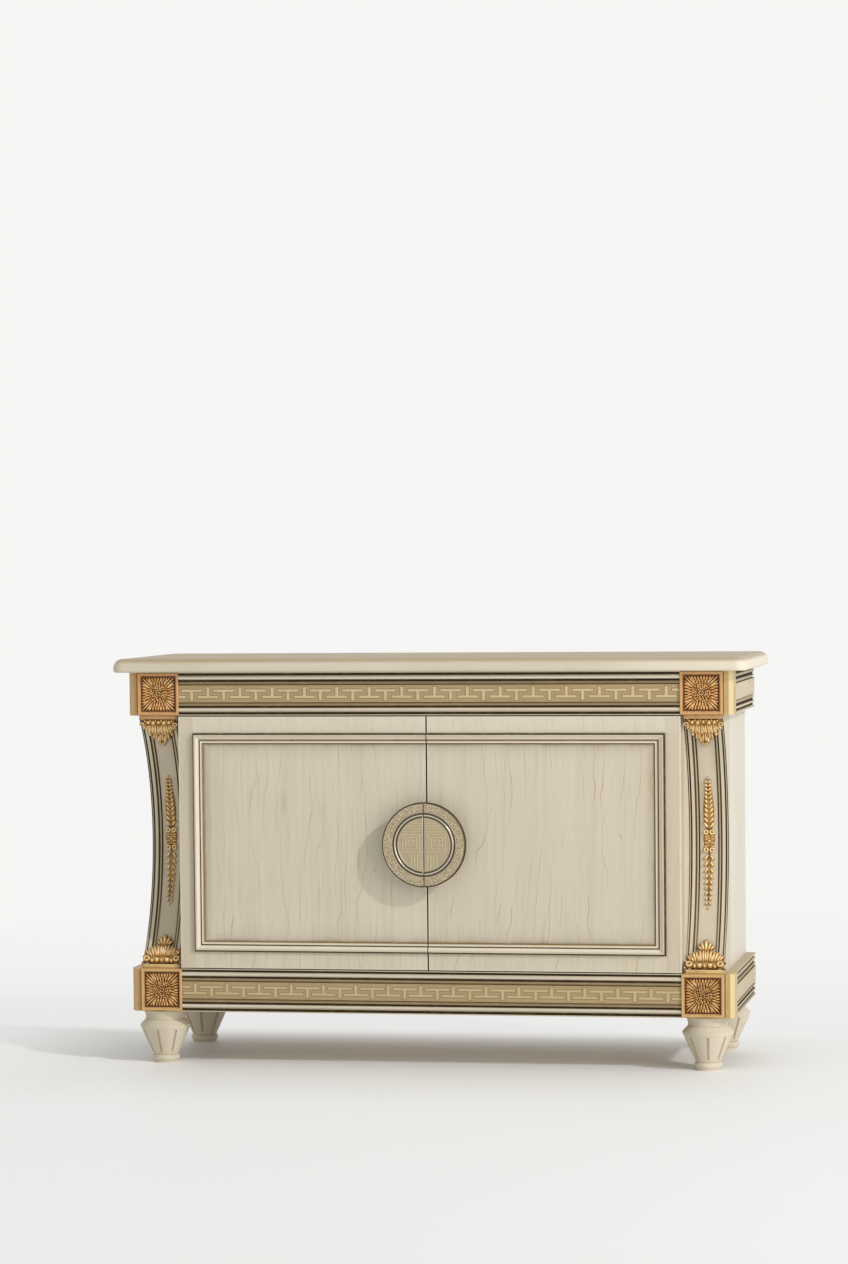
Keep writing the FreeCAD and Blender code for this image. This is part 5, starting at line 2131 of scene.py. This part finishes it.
@dataclass(frozen=True)
class Casework:
    """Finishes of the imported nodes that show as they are."""

    nodes: dict[str, bpy.types.Object]
    frame: DoorFrame
    column: Column
    lacquer: Lacquer = Lacquer()
    side_lacquer: Lacquer = Lacquer(
        aged=srgb(178, 163, 134), glaze=srgb(30, 19, 6), roughness=0.62, sheen=0.05
    )
    veneer: Veneer = Veneer()
    # The side panels' veneer is paler than the doors', as painted light from the side, and its veins are
    # fainter.
    side_veneer: Veneer = Veneer(
        pale=srgb(214, 207, 193), dark=srgb(197, 187, 167), vein=srgb(184, 164, 132)
    )
    board: Board = Board()
    steel: Metal = Metal("zinc_steel", srgb(196, 196, 198), srgb(150, 150, 154), roughness=0.34)
    bronze: Metal = Metal("dark_bronze", srgb(112, 88, 56), srgb(80, 60, 36), roughness=0.36)
    block_line: float = 694.2 * MM

    def _give(self, material: Material, *names: str) -> None:
        """Give nodes a finish.

        Args:
            material: The finish.
            names: Names of the nodes, with a star for the side in those that each side has.
        """
        for name in names:
            for word in [side.word for side in Side] if "*" in name else [""]:
                node = name.replace("*", word)
                slots = self.nodes[node].data.materials
                slots.clear()
                slots.append(material)
                LOG.info("%s: %s", node, material.name)

    def dress(self) -> None:
        """Finish every node that stays."""
        self._dress_paint()
        self._dress_boards()
        self._dress_metal()

    def _dress_paint(self) -> None:
        """Finish what is lacquered, veneered or gilded."""
        self._give(self.lacquer.top(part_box("top_panel")[1].z), "top_panel")
        # The last number is the painted light on the upper bead, which the top's overhang shades.
        for rail, sides, age, worn in (
            ("upper_frieze_rail", "*_upper_side_frieze", 0.35, 0.8),
            ("base_rail", "*_base_side_rail", 0.6, 0.0),
        ):
            low, high = (corner.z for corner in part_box(rail))
            self._give(self.lacquer.rail(f"cream_{rail}", low, high, FRONT_RAIL_GLAZE, worn=worn), rail)
            self._give(self.side_lacquer.rail(f"cream_{rail}_side", low, high, SIDE_RAIL_GLAZE, age), sides)
        self._give(self.lacquer.pilaster(self.column, Gilding()), "*_pilaster")
        for end in ("front", "rear"):
            low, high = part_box(f"{end}_right_foot")
            self._give(self.lacquer.foot(f"cream_{end}_foot", (low + high).xy / 2.0), f"{end}_*_foot")
        self._give(self.side_veneer.panel(), "*_side_panel")
        self._give(self.veneer.door(self.frame), "*_door_leaf")
        self._give(self.lacquer.moulding(self.frame), "*_door_moulding")
        blocks = [f"{level.word}_*_corner_block" for level in Level]
        self._give(BlockGilding().material("gold_block", self.block_line), *blocks)

    def _dress_boards(self) -> None:
        """Finish the boards of the inside and the back."""
        self._give(
            self.board.material("board_level", level_run(0.1)),
            "sub_top", "bottom_panel", "shelf", "base_back_rail", "rear_foot_blocks",
        )
        self._give(self.board.material("board_upright", upright(0.1)), "back_panel")
        low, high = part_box("right_carcass_side")
        self._give(self.lacquer.carcass(self.board, high.x, low.y), "*_carcass_side")

    def _dress_metal(self) -> None:
        """Finish the hardware."""
        self._give(
            self.steel.material(),
            "shelf_pins", "foot_bolts", "back_panel_screws", "*_pull_screws", "*_catch_plate",
        )
        self._give(self.bronze.material(), "door_pivot_pins", "pivot_washers", "*_door_bushes")
        self._give(Plastic().material(), "magnetic_catch")


@dataclass(frozen=True)
class Studio:
    """Floor, soft light and camera. A fade of the floor into the backdrop is (start, stop, share)."""

    image_size: Spot = (848.0, 1264.0)
    focal_pixels: float = 3724.7
    camera_place: Spot = (1.6253, -8.7323, 1.1845)
    yaw: float = -0.1758
    pitch: float = -0.0497
    roll: float = -0.0086
    shift: Spot = (-0.04, 0.0902)
    sensor: float = 36.0
    key_place: Spot = (3.625, -2.22, 2.63)
    key_aim: Spot = (0.0, 0.0, 0.0)
    key_strength: float = 1.24
    key_softness: float = math.radians(3.0)
    fill_place: Spot = (3.2, -2.4, 1.3)
    fill_aim: Spot = (0.0, 0.0, 0.5)
    fill_size: float = 2.4
    fill_power: float = 42.0
    sky: float = 0.585
    backdrop: Colour = srgb(246, 246, 244)
    floor_colour: Colour = srgb(246, 246, 244)
    floor_glow: Colour = srgb(237, 237, 236)
    floor_roughness: float = 0.6
    floor_size: float = 60.0
    fade_round: Spot = (1.2, 4.0, 1.0)
    fade_behind: Spot = (0.26, 0.5, 0.85)
    fade_beside: Spot = (0.7, 1.3, 0.7)
    fade_before: Spot = (-0.35, -1.0, 0.6)
    tone_behind: Spot = (0.2, 2.5)

    def build(self) -> None:
        """Set up everything round the part."""
        self._camera()
        self._lamps()
        self._world()
        self._floor()

    def _camera(self) -> None:
        """Place the camera at the viewing angle."""
        data = bpy.data.cameras.new("camera")
        data.sensor_fit = "AUTO"
        data.sensor_width = self.sensor
        data.lens = self.focal_pixels / max(self.image_size) * self.sensor
        data.shift_x, data.shift_y = self.shift
        camera = bpy.data.objects.new("camera", data)
        turn = (
            Matrix.Rotation(-self.yaw, 4, "Z")
            @ Matrix.Rotation(QUARTER_TURN + self.pitch, 4, "X")
            @ Matrix.Rotation(self.roll, 4, "Z")
        )
        camera.matrix_world = Matrix.Translation(self.camera_place) @ turn
        bpy.context.scene.collection.objects.link(camera)
        bpy.context.scene.camera = camera

    @staticmethod
    def _hang(data: bpy.types.Light, place: Spot, aim: Spot) -> None:
        """Hang a lamp.

        Args:
            data: The lamp.
            place: Place that it hangs at.
            aim: Place that it shines at.
        """
        lamp = bpy.data.objects.new(data.name, data)
        lamp.location = place
        lamp.rotation_euler = (Vector(place) - Vector(aim)).to_track_quat("Z", "Y").to_euler()
        bpy.context.scene.collection.objects.link(lamp)

    def _lamps(self) -> None:
        """Hang a soft lamp at the upper right, and a broad one that fills from that side."""
        key = bpy.data.lights.new("key", "SUN")
        key.energy = self.key_strength
        key.angle = self.key_softness
        self._hang(key, self.key_place, self.key_aim)
        fill = bpy.data.lights.new("fill", "AREA")
        fill.shape = "DISK"
        fill.size = self.fill_size
        fill.energy = self.fill_power
        self._hang(fill, self.fill_place, self.fill_aim)

    def _world(self) -> None:
        """Fill the room with even light and a pale backdrop."""
        world = bpy.data.worlds.new("room")
        world.use_nodes = True
        bpy.context.scene.world = world
        nodes = Nodes(world.node_tree)
        light = nodes.tree.nodes["Background"]
        nodes.feed(light.inputs["Color"], WHITE)
        nodes.feed(light.inputs["Strength"], self.sky)
        pale = nodes.node("ShaderNodeBackground", inputs={"Color": self.backdrop})
        nodes.show(light, pale, nodes.seen())

    def _floor(self) -> None:
        """Lay the floor, which fades into the backdrop."""
        mesh = bmesh.new()
        bmesh.ops.create_grid(mesh, x_segments=8, y_segments=8, size=self.floor_size)
        data = bpy.data.meshes.new("floor")
        mesh.to_mesh(data)
        mesh.free()
        floor = bpy.data.objects.new("floor", data)
        bpy.context.scene.collection.objects.link(floor)
        shader = Shader("pale_floor")
        shader.feed(shader.surface.inputs["Base Color"], self.floor_colour)
        shader.feed(shader.surface.inputs["Roughness"], self.floor_roughness)
        across, along, _ = shader.axes()
        far: Number = 0.0
        for place, (start, stop, share) in (
            (across.away(along), self.fade_round),
            (along, self.fade_behind),
            (across.size(), self.fade_beside),
            (along, self.fade_before),
        ):
            far = (place.rise(start, stop) * share).most(far)
        tone = shader.blend(self.floor_glow, self.backdrop, along.rise(*self.tone_behind))
        glow = shader.node("ShaderNodeEmission", inputs={"Color": tone, "Strength": 1.0})
        shader.show(shader.surface, glow, far * shader.seen())
        data.materials.append(shader.material)


def main() -> None:
    """Build the looks of the chiffonier."""
    logging.basicConfig(level=logging.INFO, format="%(name)s %(message)s")
    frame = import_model()
    bpy.context.scene.view_settings.view_transform = "Standard"
    door_frame = DoorFrame.read()
    column = Column.read()
    casework = Casework(frame["nodes"], door_frame, column)
    casework.dress()
    for level in Level:
        plaque_gold = PLAQUE_GOLD[level].plaque(f"gold_{level.word}_plaque", Plaque(Side.RIGHT, level))
        for side in Side:
            Plaque(side, level).build(plaque_gold)
    bead_gold = BlockGilding().material("gold_bead")
    for level in Level:
        band_gold = BAND_GOLD[level].band(f"gold_{level.word}_band")
        for side in Side:
            BlockBead(side, level).build(bead_gold)
            LeafBand(side, level, column).build(band_gold)
    cove = casework.lacquer.cove(column)
    leaf_ground = column.radius + PilasterDressing.leaf_hollow
    leaf_gold = Gilding().carving("gold_leaves", column, leaf_ground, PilasterDressing.leaf_reach)
    wheat_gold = WHEAT_GOLD.carving("gold_wheat", column, column.field_radius, Ear.height * MM)
    for side in Side:
        PilasterDressing(side, column).build(cove, leaf_gold, wheat_gold)
    Meander("upper_frieze_inlay", bar_half=24.5 * MM, flip=1.0).build(Inlay())
    Meander("base_inlay", bar_half=28.5 * MM, flip=-1.0).build(Inlay(pale=srgb(190, 172, 134)))
    champagne = CastMetal(
        "champagne_cast", srgb(196, 181, 148), srgb(172, 154, 118), roughness=0.44, metallic=0.3
    )
    cast = champagne.pull(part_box("right_pull_disc")[0].y, Pull.face_depth, door_frame.middle)
    bright = Metal("polished_nickel", srgb(206, 200, 186), srgb(180, 172, 154), roughness=0.24).material()
    for side in Side:
        Pull(side, door_frame).build(cast, bright)
    Studio().build()


if __name__ == "__main__":
    main()
